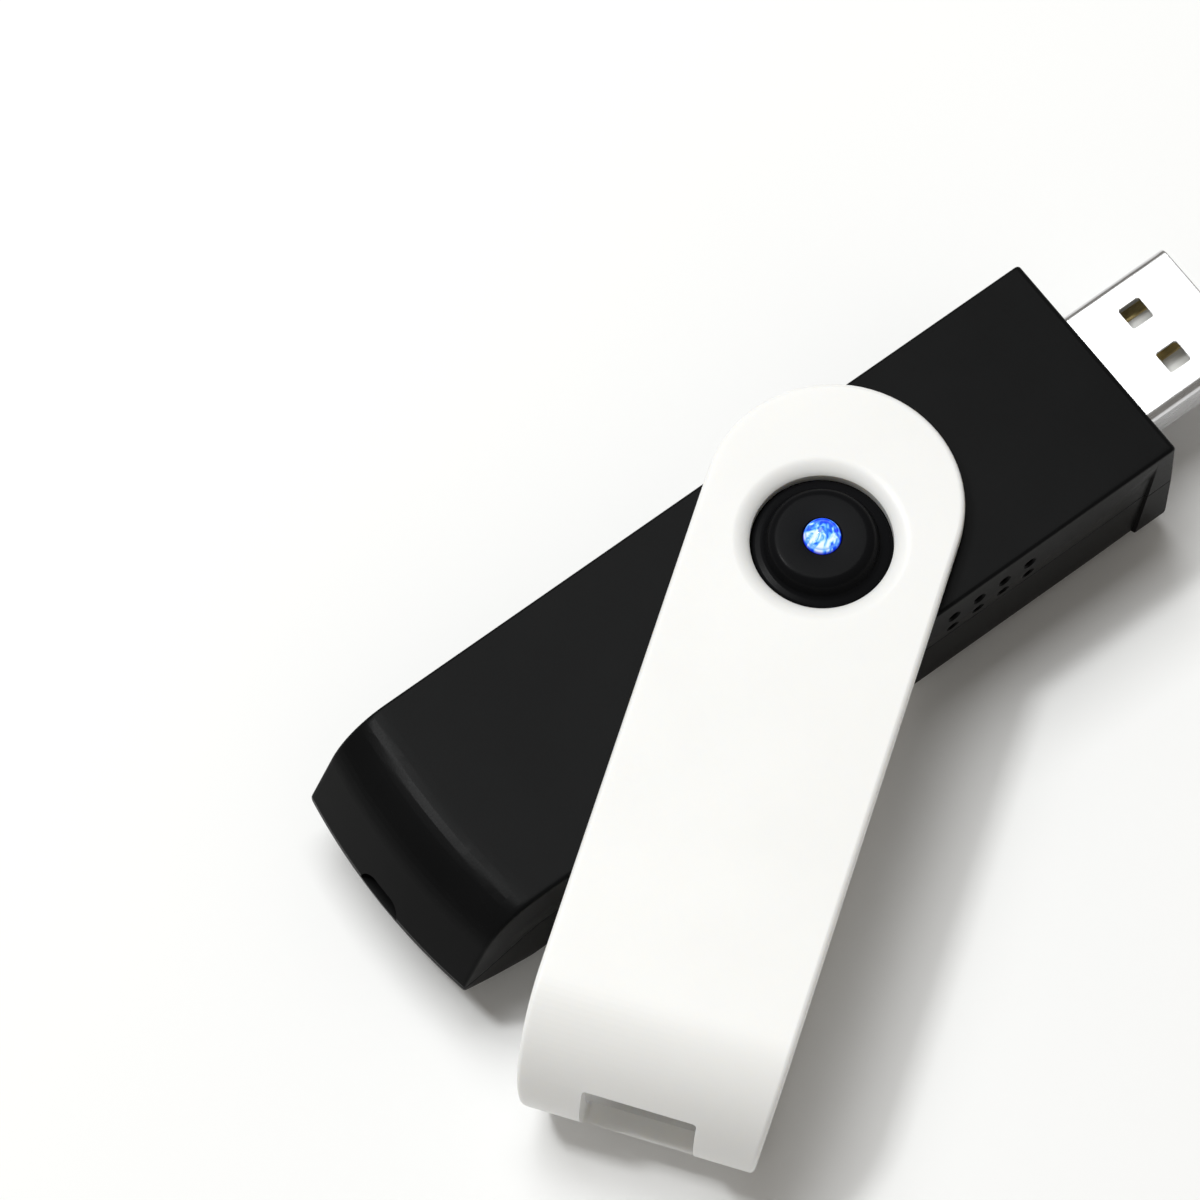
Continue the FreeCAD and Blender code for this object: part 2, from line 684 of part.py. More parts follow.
def build_transformer():
    """Model the step-up transformer: ferrite frame, bobbin and winding."""
    low = BOARD
    back = "-transformer_back"
    left = "-transformer_width / 2"
    height = "transformer_height"
    plate = {"Length": "transformer_length", "Width": "transformer_width", "Height": "core_leg"}
    leg = {"Length": "transformer_length", "Width": "core_leg", "Height": height}
    post = {"Radius": "core_middle_radius", "Height": height}
    corner = back + " - transformer_length / 2"
    parts = [
        ("Box", plate, (corner, left, low), UPRIGHT),
        ("Box", plate, (corner, left, low + " + transformer_height - core_leg"), UPRIGHT),
        ("Box", leg, (corner, left, low), UPRIGHT),
        ("Box", leg, (corner, "transformer_width / 2 - core_leg", low), UPRIGHT),
        ("Cylinder", post, (back, "0", low), UPRIGHT),
    ]
    solids("transformer_core", parts)
    base = low + " + core_leg"
    window = "(transformer_height - 2 * core_leg)"
    bore = "core_middle_radius + part_gap"
    sleeve = ring("bobbin_sleeve", bore + " + bobbin_wall", bore, window, (back, "0", base))
    flanges = []
    for name, lift in (("low", "0"), ("high", window + " - bobbin_flange")):
        place = (back, "0", "%s + %s" % (base, lift))
        flanges.append(ring("bobbin_flange_" + name, "winding_radius", bore, "bobbin_flange", place))
    bobbin = DOC.addObject("Part::MultiFuse", "transformer_bobbin")
    bobbin.Shapes = [sleeve] + flanges
    bobbin.Label = "transformer_bobbin"
    NODES.append(bobbin)
    inner = bore + " + bobbin_wall + part_gap"
    start = (back, "0", base + " + bobbin_flange + part_gap")
    length = window + " - 2 * (bobbin_flange + part_gap)"
    NODES.append(ring("transformer_winding", "winding_radius - part_gap", inner, length, start))


def axial_parts(label, radius, length, places):
    """Make parts that lie along X on the board, each a body with a lead at each end."""
    parts = []
    body = {"Radius": radius, "Height": length}
    lead = {"Radius": "axial_lead_radius", "Height": "2 * axial_lead_reach + " + length}
    for back, across in places:
        level = "%s + %s" % (BOARD, radius)
        start = "-(%s) - (%s) / 2" % (back, length)
        parts.append(("Cylinder", body, (start, across, level), ALONG_X))
        parts.append(("Cylinder", lead, (start + " - axial_lead_reach", across, level), ALONG_X))
    solids(label, parts)


def build_small_parts():
    """Model the parts on the board besides the transformer and the indicator."""
    disc = {"Radius": "disc_radius", "Height": "disc_thickness"}
    level = BOARD + " + disc_radius"
    discs = []
    for step in range(DISCS):
        back = "-(disc_first_back + %d * disc_pitch)" % step
        discs.append(("Cylinder", disc, (back, "-disc_offset", level), ALONG_X))
    solids("disc_capacitors", discs)
    places = []
    for back in ("disc_first_back", "disc_first_back + axial_step"):
        places += [(back, "diode_row_inner"), (back, "diode_row_outer")]
    axial_parts("multiplier_diodes", "axial_radius", "axial_length", places)
    places = [("ballast_back", "-ballast_offset"), ("ballast_back", "ballast_offset")]
    axial_parts("ballast_resistors", "ballast_radius", "ballast_length", places)
    can = {"Radius": "capacitor_radius", "Height": "capacitor_length"}
    place = ("-capacitor_back", "capacitor_offset", BOARD)
    solids("filter_capacitor", [("Cylinder", can, place, UPRIGHT)])
    chip = {"Length": "chip_length", "Width": "chip_width", "Height": "chip_height"}
    chips = []
    for step in range(CHIPS):
        back = "-(chip_first_back + %d * chip_pitch)" % step
        chips.append(("Box", chip, (back, "-chip_offset", BOARD), UPRIGHT))
    solids("chip_resistors", chips)


def build_transistor():
    """Model the drive transistor: a round case with one flat side, on the board."""
    place = ("-transistor_back", "-transistor_offset", BOARD)
    round_case = DOC.addObject("Part::Cylinder", "transistor_round")
    bind(round_case, Radius="transistor_radius", Height="transistor_height")
    flat = DOC.addObject("Part::Box", "transistor_flat")
    bind(flat, Length="2 * transistor_radius", Width="transistor_radius", Height="transistor_height")
    shifts = (" - transistor_radius", " + transistor_flat", "")
    for axis, expression, shift in zip("xyz", place, shifts):
        round_case.setExpression("Placement.Base." + axis, cell(expression))
        flat.setExpression("Placement.Base." + axis, cell(expression + shift))
    cut = DOC.addObject("Part::Cut", "drive_transistor")
    cut.Base = round_case
    cut.Tool = flat
    cut.Label = "drive_transistor"
    NODES.append(cut)


def build_emitter():
    """Model the emitter: insulating holder, pointed needle and the wire to the board."""
    level = "-tip_level"
    front = "-(pivot_back + holder_front_back)"
    for name, radius in (("holder_round", "holder_radius"), ("holder_bore", "needle_radius + part_gap")):
        cylinder = DOC.addObject("Part::Cylinder", name)
        bind(cylinder, Radius=radius, Height="holder_length")
        cylinder.Placement = FreeCAD.Placement(Vector(), BACKWARDS)
        cylinder.setExpression("Placement.Base.x", cell(front))
        cylinder.setExpression("Placement.Base.z", cell(level))
    holder = DOC.addObject("Part::Cut", "emitter_holder")
    holder.Base = DOC.getObject("holder_round")
    holder.Tool = DOC.getObject("holder_bore")
    holder.Label = "emitter_holder"
    NODES.append(holder)
    start = front + " + needle_back"
    shank = {"Radius": "needle_radius", "Height": "needle_length - needle_point"}
    point = {"Radius1": "needle_radius", "Radius2": "needle_tip_radius", "Height": "needle_point"}
    parts = [("Cylinder", shank, (start, "0", level), BACKWARDS)]
    parts.append(("Cone", point, (start + " - needle_length + needle_point", "0", level), BACKWARDS))
    solids("emitter_needle", parts)
    wire = {"Radius": "wire_radius", "Height": "wire_length"}
    solids("emitter_wire", [("Cylinder", wire, (start, "0", level), ALONG_X)])


# --------------------------------------------------------------------- output
def check_and_write():
    """Stop on any failed object or shape, then write one file for each sub-part."""
    DOC.recompute()
    failed = [thing.Name for thing in DOC.Objects if {"Invalid", "Error"} & set(thing.State)]
    if failed:
        raise RuntimeError("failed objects: " + ", ".join(failed))
    for node in NODES:
        if node.Shape.isNull() or not node.Shape.isValid():
            raise RuntimeError(node.Label + " has no valid shape")
    os.makedirs("parts", exist_ok=True)
    for node in NODES:
        node.Shape.exportStep("parts/%s.step" % node.Label)
        box = node.Shape.BoundBox
        print("%-20s %8.2f mm3  %d solid(s)" % (node.Label, node.Shape.Volume, len(node.Shape.Solids)))
        print("   x %.2f..%.2f  y %.2f..%.2f  z %.2f..%.2f" % (
            box.XMin, box.XMax, box.YMin, box.YMax, box.ZMin, box.ZMax))


build_upper_case()
build_lower_case()
build_cover()
build_hub_cap("upper_hub_cap", "", "lens_bore_radius", "plateau_height")
build_hub_cap("lower_hub_cap", "-", "0", "plateau_height_low")
build_plug_shell()
build_plug_inside()
build_board()
build_indicator()
build_transformer()
build_small_parts()
build_transistor()
build_emitter()
check_and_write()
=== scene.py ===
"""Looks of a USB-stick air ioniser: moulded case, swivel cover, lit hub and USB plug.

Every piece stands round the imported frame, in metres: +X out of the plug, +Z up through
the hub.  Sizes of the maker's drawings are written in millimetres and turned to metres
by MM.
"""
import enum
import json
import logging
import math
from collections.abc import Sequence
from dataclasses import dataclass, field

import bmesh
import bpy
from mathutils import Matrix, Vector


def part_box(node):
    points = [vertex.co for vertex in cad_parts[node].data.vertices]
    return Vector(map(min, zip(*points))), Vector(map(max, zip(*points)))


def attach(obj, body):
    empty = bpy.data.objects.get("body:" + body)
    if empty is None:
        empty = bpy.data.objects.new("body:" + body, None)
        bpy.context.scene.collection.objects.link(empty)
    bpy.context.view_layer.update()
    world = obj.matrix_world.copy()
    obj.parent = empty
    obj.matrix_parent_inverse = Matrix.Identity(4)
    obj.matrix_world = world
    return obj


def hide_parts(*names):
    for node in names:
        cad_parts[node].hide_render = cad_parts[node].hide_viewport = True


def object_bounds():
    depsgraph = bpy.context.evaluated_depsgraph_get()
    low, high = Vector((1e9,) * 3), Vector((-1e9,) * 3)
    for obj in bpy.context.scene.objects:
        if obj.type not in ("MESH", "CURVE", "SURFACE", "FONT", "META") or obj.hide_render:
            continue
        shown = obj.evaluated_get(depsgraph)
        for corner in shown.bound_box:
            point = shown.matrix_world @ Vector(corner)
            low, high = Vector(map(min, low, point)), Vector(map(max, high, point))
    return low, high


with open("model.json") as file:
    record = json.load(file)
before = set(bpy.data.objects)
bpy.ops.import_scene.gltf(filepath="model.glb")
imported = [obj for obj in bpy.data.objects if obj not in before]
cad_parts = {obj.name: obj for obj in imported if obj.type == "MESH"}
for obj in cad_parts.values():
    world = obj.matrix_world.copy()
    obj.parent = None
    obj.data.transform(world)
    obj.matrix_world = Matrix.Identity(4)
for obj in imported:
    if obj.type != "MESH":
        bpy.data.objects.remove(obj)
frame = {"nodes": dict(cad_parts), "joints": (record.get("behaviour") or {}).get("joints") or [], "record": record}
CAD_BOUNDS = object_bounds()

MM = 0.001
LOG = logging.getLogger("ioniser")
Point = tuple[float, float]
Colour = tuple[float, float, float]
Stops = tuple[tuple[float, Colour], ...]
Node = bpy.types.ShaderNode
Socket = bpy.types.NodeSocket
Material = bpy.types.Material
Piece = bpy.types.Object
Work = bmesh.types.BMesh
BLACK: Colour = (0.0, 0.0, 0.0)
WHITE: Colour = (1.0, 1.0, 1.0)


# ---------------------------------------------------------------------------- finishes
class Bsdf(enum.Enum):
    """Sockets of the surface shader, under the names that a maker would use."""

    COLOUR = "Base Color"
    METAL = "Metallic"
    ROUGHNESS = "Roughness"
    GLOSS = "Specular IOR Level"
    DEPTH = "Subsurface Weight"
    DEPTH_COLOUR = "Subsurface Radius"
    DEPTH_SCALE = "Subsurface Scale"
    COAT = "Coat Weight"
    COAT_ROUGHNESS = "Coat Roughness"
    GLOW = "Emission Strength"
    GLOW_COLOUR = "Emission Color"
    GRAIN = "Anisotropic"
    NORMAL = "Normal"


class Bench:
    """A node tree under construction, with short ways to add and join its nodes."""

    def __init__(self, name: str) -> None:
        """Start a material.

        Args:
            name: the material's name.
        """
        self.material = bpy.data.materials.new(name)
        self.material.use_nodes = True
        self.tree = self.material.node_tree
        self.tree.nodes.clear()
        self.surface = self.tree.nodes.new("ShaderNodeBsdfPrincipled")
        output = self.tree.nodes.new("ShaderNodeOutputMaterial")
        self.tree.links.new(self.surface.outputs["BSDF"], output.inputs["Surface"])
        place = self.tree.nodes.new("ShaderNodeTexCoord")
        self.place = place.outputs["Object"]

    def add(self, kind: str, joins: dict[str, Socket], **values: object) -> Node:
        """Add a node.

        Args:
            kind: the node's type, without its prefix.
            joins: sockets to link, by the name or number of the new node's input.
            values: settings of the node or, where it has none of that name, of an input.

        Returns:
            The new node.
        """
        node = self.tree.nodes.new("ShaderNode" + kind)
        for name, value in values.items():
            if hasattr(node, name):
                setattr(node, name, value)
            else:
                node.inputs[name.replace("_", " ").title()].default_value = value
        for name, socket in joins.items():
            self.tree.links.new(socket, node.inputs[name])
        return node

    def noise(self, size: float, detail: float, stretch: Colour = WHITE) -> Socket:
        """Add noise.

        Args:
            size: width of a typical spot in metres.
            detail: number of finer octaves.
            stretch: how much denser the noise is along each axis.

        Returns:
            The noise's value.
        """
        place = self.place
        if stretch != WHITE:
            place = self.add("Mapping", {"Vector": place}, scale=stretch).outputs["Vector"]
        noise = self.add("TexNoise", {"Vector": place}, scale=1.0 / size, detail=detail)
        return noise.outputs["Fac"]

    def ramp(self, value: Socket, stops: Sequence[tuple[float, Colour]]) -> Socket:
        """Turn a value into a colour.

        Args:
            value: the socket to read.
            stops: places along the ramp with their colours.

        Returns:
            The colour.
        """
        ramp = self.add("ValToRGB", {"Fac": value})
        band = ramp.color_ramp
        while len(band.elements) < len(stops):
            band.elements.new(1.0)
        for element, (place, colour) in zip(band.elements, stops):
            element.position = place
            element.color = (*colour, 1.0)
        return ramp.outputs["Color"]

    def blend(self, share: Socket, low: Socket, high: Colour) -> Socket:
        """Mix an even colour into a varying one.

        Args:
            share: how much of the even colour shows.
            low: the varying colour.
            high: the even colour.

        Returns:
            The mixed colour.
        """
        node = self.add("Mix", {}, data_type="RGBA")
        first, second = [socket for socket in node.inputs if socket.type == "RGBA"]
        self.tree.links.new(share, node.inputs[0])
        self.tree.links.new(low, first)
        second.default_value = (*high, 1.0)
        return next(socket for socket in node.outputs if socket.type == "RGBA")

    def spread(self, value: Socket, low: float, high: float) -> Socket:
        """Map a value from 0..1 to the range from low to high."""
        node = self.add("MapRange", {"Value": value}, to_min=low, to_max=high)
        return node.outputs["Result"]

    def relief(self, layers: Sequence[tuple[Socket, float]]) -> None:
        """Stack bump layers on the surface.

        Args:
            layers: heights as values of 0..1, each with its depth in metres.
        """
        normal = None
        for height, depth in layers:
            joins = {"Height": height}
            if normal is not None:
                joins["Normal"] = normal
            bump = self.add("Bump", joins, distance=depth)
            normal = bump.outputs["Normal"]
        self.join(Bsdf.NORMAL, normal)

    def mottle(self, value: Socket, low: Colour, high: Colour, span: Point = (0.3, 0.7)) -> None:
        """Turn the surface from one colour to another while a value crosses a span."""
        self.join(Bsdf.COLOUR, self.ramp(value, ((span[0], low), (span[1], high))))

    def join(self, socket: Bsdf, value: Socket) -> None:
        """Link a value that varies over the surface to a socket of the shader."""
        self.tree.links.new(value, self.surface.inputs[socket.value])

    def fix(self, settings: dict[Bsdf, object]) -> None:
        """Set the sockets that are the same all over the surface."""
        for socket, value in settings.items():
            self.surface.inputs[socket.value].default_value = value


def shade(colour: Colour, factor: float) -> Colour:
    """Scale a colour's brightness."""
    return (colour[0] * factor, colour[1] * factor, colour[2] * factor)


@dataclass(frozen=True)
class Moulded:
    """Opaque moulded plastic with a spark-eroded grain.

    Fields: name, colour, roughness with its spread, gloss of the surface, width and depth
    of the grain in metres, how far the colour varies in broad patches, and their size.
    """

    name: str
    colour: Colour
    roughness: float = 0.5
    roughness_spread: float = 0.08
    gloss: float = 0.5
    grain: float = 0.16 * MM
    depth: float = 0.012 * MM
    patches: float = 0.12
    patch_size: float = 9 * MM

    def make(self) -> Material:
        """Build the material.

        Returns:
            The finished material.
        """
        bench = Bench(self.name)
        broad = bench.noise(self.patch_size, detail=3.0)
        fine = bench.noise(self.grain, detail=2.0)
        bench.mottle(broad, shade(self.colour, 1 - self.patches), shade(self.colour, 1 + self.patches))
        rough = (self.roughness - self.roughness_spread, self.roughness + self.roughness_spread)
        bench.join(Bsdf.ROUGHNESS, bench.spread(fine, *rough))
        bench.fix({Bsdf.GLOSS: self.gloss})
        bench.relief(((fine, self.depth), (broad, self.depth / 2)))
        return bench.material


@dataclass(frozen=True)
class MilkyPlastic:
    """Slightly translucent moulded plastic, smooth, with faint flow marks.

    Fields: name, colour and its darkest share, the share of light that goes in, how deep it
    reaches in metres and in which colour, roughness with its spread, gloss, and the sizes
    of the flow marks and of the skin's texture with the depth of the marks.
    """

    name: str
    colour: Colour
    darkest: float = 0.975
    inside: float = 0.35
    reach: float = 1.2 * MM
    reach_colour: Colour = (1.0, 0.93, 0.8)
    roughness: float = 0.38
    roughness_spread: float = 0.06
    gloss: float = 0.4
    flow_size: float = 14 * MM
    skin_size: float = 0.35 * MM
    marks: float = 0.01 * MM

    def make(self) -> Material:
        """Build the material.

        Returns:
            The finished material.
        """
        bench = Bench(self.name)
        flow = bench.noise(self.flow_size, detail=4.0)
        skin = bench.noise(self.skin_size, detail=3.0)
        bench.mottle(flow, shade(self.colour, self.darkest), self.colour, (0.35, 0.65))
        rough = (self.roughness - self.roughness_spread, self.roughness + self.roughness_spread)
        bench.join(Bsdf.ROUGHNESS, bench.spread(skin, *rough))
        bench.fix({
            Bsdf.DEPTH: self.inside,
            Bsdf.DEPTH_COLOUR: self.reach_colour,
            Bsdf.DEPTH_SCALE: self.reach,
            Bsdf.GLOSS: self.gloss,
        })
        bench.relief(((flow, self.marks), (skin, self.marks / 3)))
        return bench.material


@dataclass(frozen=True)
class Metal:
    """Plated or drawn metal with fine lines along X.

    Fields: name, colour, roughness, how far it falls and rises from place to place, the
    width and depth of the lines in metres, and the darkness and size of the tarnish.
    """

    name: str
    colour: Colour
    roughness: float = 0.25
    roughness_fall: float = 0.07
    roughness_rise: float = 0.1
    line_width: float = 0.12 * MM
    line_depth: float = 0.0012 * MM
    tarnish: float = 0.86
    tarnish_size: float = 3 * MM

    def make(self) -> Material:
        """Build the material.

        Returns:
            The finished material.
        """
        bench = Bench(self.name)
        drawn = bench.noise(self.line_width, detail=3.0, stretch=(0.05, 1.0, 1.0))
        tarnish = bench.noise(self.tarnish_size, detail=3.0)
        bench.mottle(tarnish, shade(self.colour, self.tarnish), self.colour)
        rough = (self.roughness - self.roughness_fall, self.roughness + self.roughness_rise)
        bench.join(Bsdf.ROUGHNESS, bench.spread(drawn, *rough))
        bench.fix({Bsdf.METAL: 1.0, Bsdf.GRAIN: 0.3})
        bench.relief(((drawn, self.line_depth),))
        return bench.material


@dataclass(frozen=True)
class LitLens:
    """Clear epoxy lens lit from inside: marbled light, a bright ring and a deep blue rim.

    Fields: name, middle of the dome in metres, its radius, the direction of the brighter
    side, how much brighter it is, the steps of the marbling from dark to bright, the
    colours of the ring and the rim with their places from the middle outwards, the colour
    of the unlit epoxy, the strength of the glow, and the width and depth of the ripples.
    """

    name: str
    middle: Vector
    radius: float
    bright_side: Colour = (-0.88, -0.34, 0.0)
    bias: float = 0.13
    marbling: Stops = (
        (0.34, (0.004, 0.035, 0.85)), (0.44, (0.02, 0.16, 1.0)), (0.50, (0.12, 0.45, 1.0)),
        (0.56, (0.5, 0.85, 1.0)), (0.64, (0.9, 1.0, 1.0)))
    ring: Colour = (0.16, 0.4, 1.0)
    ring_place: Stops = ((0.82, BLACK), (0.90, (0.8, 0.8, 0.8)), (0.95, BLACK))
    rim: Colour = (0.0, 0.004, 0.5)
    rim_place: Stops = ((0.94, BLACK), (1.0, WHITE))
    unlit: Colour = (0.01, 0.05, 0.5)
    glow: float = 1.0
    ripple: float = 0.5 * MM
    ripple_depth: float = 0.01 * MM

    def make(self) -> Material:
        """Build the material.

        Returns:
            The finished material.
        """
        bench = Bench(self.name)
        centred = bench.add("VectorMath", {0: bench.place}, operation="SUBTRACT")
        centred.inputs[1].default_value = self.middle
        flat = bench.add("VectorMath", {0: centred.outputs["Vector"]}, operation="MULTIPLY")
        flat.inputs[1].default_value = (1 / self.radius, 1 / self.radius, 0.0)
        far = bench.add("VectorMath", {0: flat.outputs["Vector"]}, operation="LENGTH").outputs["Value"]
        lean = bench.add("VectorMath", {0: flat.outputs["Vector"]}, operation="DOT_PRODUCT")
        lean.inputs[1].default_value = self.bright_side
        curls = bench.add(
            "TexNoise", {"Vector": flat.outputs["Vector"]}, scale=1.5, detail=3.0, distortion=1.6)
        biased = bench.add("Math", {0: lean.outputs["Value"]}, operation="MULTIPLY_ADD")
        biased.inputs[1].default_value = self.bias
        bench.tree.links.new(curls.outputs["Fac"], biased.inputs[2])
        marbled = bench.ramp(biased.outputs["Value"], self.marbling)
        ringed = bench.blend(bench.ramp(far, self.ring_place), marbled, self.ring)
        rimmed = bench.blend(bench.ramp(far, self.rim_place), ringed, self.rim)
        bench.join(Bsdf.GLOW_COLOUR, rimmed)
        bench.mottle(far, self.unlit, self.rim, (0.0, 1.0))
        bench.fix({Bsdf.GLOW: self.glow, Bsdf.ROUGHNESS: 0.08})
        bench.relief(((bench.noise(self.ripple, detail=1.0), self.ripple_depth),))
        return bench.material


@dataclass(frozen=True)
class WoundWire:
    """Enamelled wire in turns round Z.

    Fields: name, colour of the wire, how dark the painted shade between turns is, and
    its diameter in metres.
    """

    name: str
    colour: Colour
    # share of the wire's colour kept in the painted shade between turns
    between: float = 0.45
    wire: float = 0.12 * MM

    def make(self) -> Material:
        """Build the material.

        Returns:
            The finished material.
        """
        bench = Bench(self.name)
        turns = bench.add(
            "TexWave", {"Vector": bench.place}, wave_type="BANDS", bands_direction="Z",
            scale=1.0 / (self.wire * 2 * math.pi), distortion=0.4)
        value = turns.outputs["Fac"]
        # painted shade: the wire's colour darkens in the creases between turns, where shade falls
        bench.mottle(value, shade(self.colour, self.between), self.colour, (0.0, 0.6))
        bench.fix({Bsdf.METAL: 0.85, Bsdf.ROUGHNESS: 0.32, Bsdf.COAT: 0.6, Bsdf.COAT_ROUGHNESS: 0.1})
        bench.relief(((value, self.wire / 2),))
        return bench.material


@dataclass(frozen=True)
class Studio:
    """Plain pale floor with the slightest mottling.

    Fields: name, colour, its darkest share, roughness, and size of the mottling in metres.
    """

    name: str
    colour: Colour
    darkest: float = 0.99
    roughness: float = 0.7
    mottle_size: float = 60 * MM

    def make(self) -> Material:
        """Build the material.

        Returns:
            The finished material.
        """
        bench = Bench(self.name)
        mottle = bench.noise(self.mottle_size, detail=2.0)
        bench.mottle(mottle, shade(self.colour, self.darkest), self.colour)
        bench.fix({Bsdf.ROUGHNESS: self.roughness, Bsdf.GLOSS: 0.2})
        return bench.material


# ------------------------------------------------------------------------ mesh building
SHARP = math.radians(35)
ARC_STEP = math.radians(6)
TURNS = 96
ROD_TURNS = 32
MERGE = 1e-5
PAST = 1.0  # how far a cutter runs past what it cuts, in millimetres


def publish(name: str, work: Work, crease: float = SHARP) -> Piece:
    """Make an object of a mesh that was built in millimetres.

    Args:
        name: the piece's name.
        work: the mesh, which is used up.
        crease: edges that turn by more than this angle stay sharp.

    Returns:
        The piece, in metres and linked to the scene.
    """
    bmesh.ops.recalc_face_normals(work, faces=work.faces)
    bmesh.ops.scale(work, vec=(MM, MM, MM), verts=work.verts)
    mesh = bpy.data.meshes.new(name)
    work.to_mesh(mesh)
    work.free()
    mesh.shade_smooth()
    mesh.set_sharp_from_angle(angle=crease)
    piece = bpy.data.objects.new(name, mesh)
    bpy.context.scene.collection.objects.link(piece)
    return piece


def settle(piece: Piece) -> None:
    """Make a piece's modifiers part of its mesh.

    Args:
        piece: the piece, whose mesh is replaced by its final shape.
    """
    bpy.context.view_layer.update()
    graph = bpy.context.evaluated_depsgraph_get()
    shaped = bpy.data.meshes.new_from_object(piece.evaluated_get(graph))
    piece.modifiers.clear()
    drawn = piece.data
    piece.data = shaped
    shaped.name = drawn.name
    bpy.data.meshes.remove(drawn)


def carve(piece: Piece, cutters: Sequence[Piece]) -> None:
    """Cut other solids out of a piece and remove them.

    Args:
        piece: the solid that stays.
        cutters: closed solids, which are deleted.
    """
    for cutter in cutters:
        cut = piece.modifiers.new("cut", "BOOLEAN")
        cut.operation = "DIFFERENCE"
        cut.solver = "EXACT"
        cut.object = cutter
        settle(piece)
        spent = cutter.data
        bpy.data.objects.remove(cutter)
        bpy.data.meshes.remove(spent)


def even_shading(piece: Piece, crease: float = SHARP) -> None:
    """Shade flat faces flat and rounded strips round.

    Args:
        piece: the piece, whose mesh is final.
        crease: edges that turn by more than this angle stay sharp.
    """
    piece.data.shade_smooth()
    piece.data.set_sharp_from_angle(angle=crease)
    weigh = piece.modifiers.new("weigh", "WEIGHTED_NORMAL")
    weigh.keep_sharp = True
    weigh.weight = 100
    settle(piece)


def bridge(work: Work, rings: Sequence[Sequence[Vector]], capped: bool = True) -> None:
    """Join rings of points into a skin.

    Args:
        work: the mesh to add to.
        rings: closed rings with the same number of points.
        capped: whether the first and last rings are filled.
    """
    rows = [[work.verts.new(point) for point in ring] for ring in rings]
    count = len(rows[0])
    for low, high in zip(rows, rows[1:]):
        for place in range(count):
            after = (place + 1) % count
            work.faces.new((low[place], low[after], high[after], high[place]))
    if capped:
        work.faces.new(rows[0])
        work.faces.new(rows[-1])


def fillet(corners: Sequence[Sequence[float]]) -> list[tuple[float, float, int]]:
    """Round the corners of an outline.

    Args:
        corners: corners in order, each with two coordinates and a radius.

    Returns:
        The points of the rounded outline, each with the number of its corner.
    """
    points = []
    for place, (across, along, radius) in enumerate(corners):
        corner = Vector((across, along))
        before = (Vector(corners[place - 1][:2]) - corner).normalized()
        after = (Vector(corners[(place + 1) % len(corners)][:2]) - corner).normalized()
        half = before.angle(after) / 2
        if radius == 0:
            points.append((across, along, place))
            continue
        middle = corner + (before + after).normalized() * radius / math.sin(half)
        start = corner + before * radius / math.tan(half) - middle
        turn = start.angle_signed(corner + after * radius / math.tan(half) - middle)
        steps = max(3, round(abs(turn) / ARC_STEP))
        for step in range(steps + 1):
            spoke = start.copy()
            spoke.rotate(Matrix.Rotation(-turn * step / steps, 2))
            points.append((middle.x + spoke.x, middle.y + spoke.y, place))
    return points


def inward(outline: Sequence[Sequence[float]]) -> list[Vector]:
    """Find the inward directions of an anticlockwise outline.

    Args:
        outline: points of the closed outline.

    Returns:
        A direction of length 1 for each point.
    """
    count = len(outline)
    directions = []
    for place in range(count):
        here = Vector(outline[place][:2])
        before = (here - Vector(outline[place - 1][:2])).normalized()
        after = (Vector(outline[(place + 1) % count][:2]) - here).normalized()
        along = (before + after).normalized()
        directions.append(Vector((-along.y, along.x)))
    return directions


def oblong(low: Point, high: Point, corner: float) -> list[tuple[float, float, int]]:
    """Outline a rectangle with rounded corners, anticlockwise from its lowest corner."""
    spots = (low, (high[0], low[1]), high, (low[0], high[1]))
    return fillet([(*spot, corner) for spot in spots])


def circle(turns: int) -> list[Point]:
    """Give the points of a circle of radius 1, anticlockwise."""
    angles = [2 * math.pi * turn / turns for turn in range(turns)]
    return [(math.cos(angle), math.sin(angle)) for angle in angles]


def quarter(steps: int) -> list[Point]:
    """Give the inset and rise of each point of a rounded edge of radius 1, outer side first."""
    angles = [math.pi / 2 * step / steps for step in range(steps + 1)]
    return [(1 - math.cos(angle), math.sin(angle)) for angle in angles]


def lathe(name: str, profile: Sequence[Point], middle: Point = (0.0, 0.0)) -> Piece:
    """Turn a closed profile round an upright axis.

    Args:
        name: the piece's name.
        profile: pairs of radius and height in millimetres.
        middle: where the axis stands, in millimetres.

    Returns:
        The turned piece.
    """
    work = bmesh.new()
    rings = [
        [Vector((middle[0] + radius * x, middle[1] + radius * y, level)) for radius, level in profile]
        for x, y in circle(TURNS)]
    bridge(work, rings + rings[:1], capped=False)
    bmesh.ops.remove_doubles(work, verts=work.verts, dist=MERGE)
    return publish(name, work)


def block(name: str, low: Vector, high: Vector, corner: float, along: int = 0) -> Piece:
    """Make a block whose long edges are rounded.

    Args:
        name: the piece's name.
        low: lowest corner in millimetres.
        high: highest corner in millimetres.
        corner: radius of the long edges in millimetres.
        along: the axis that the long edges follow.

    Returns:
        The block.
    """
    across, up = [axis for axis in range(3) if axis != along]
    outline = oblong((low[across], low[up]), (high[across], high[up]), corner)
    rings = []
    for level in (low[along], high[along]):
        ring = []
        for first, second, _ in outline:
            spot = [0.0, 0.0, 0.0]
            spot[along], spot[across], spot[up] = level, first, second
            ring.append(Vector(spot))
        rings.append(ring)
    work = bmesh.new()
    bridge(work, rings)
    return publish(name, work)


def rod(name: str, start: Vector, end: Vector, radius: float) -> Piece:
    """Make a plain round cutter between two points, in millimetres.

    Args:
        name: the piece's name.
        start: middle of one end.
        end: middle of the other end.
        radius: its radius.

    Returns:
        The rod.
    """
    axis = (end - start).normalized()
    side = axis.orthogonal()
    other = axis.cross(side)
    work = bmesh.new()
    bridge(work, [
        [middle + (side * across + other * along) * radius for across, along in circle(ROD_TURNS)]
        for middle in (start, end)])
    return publish(name, work)


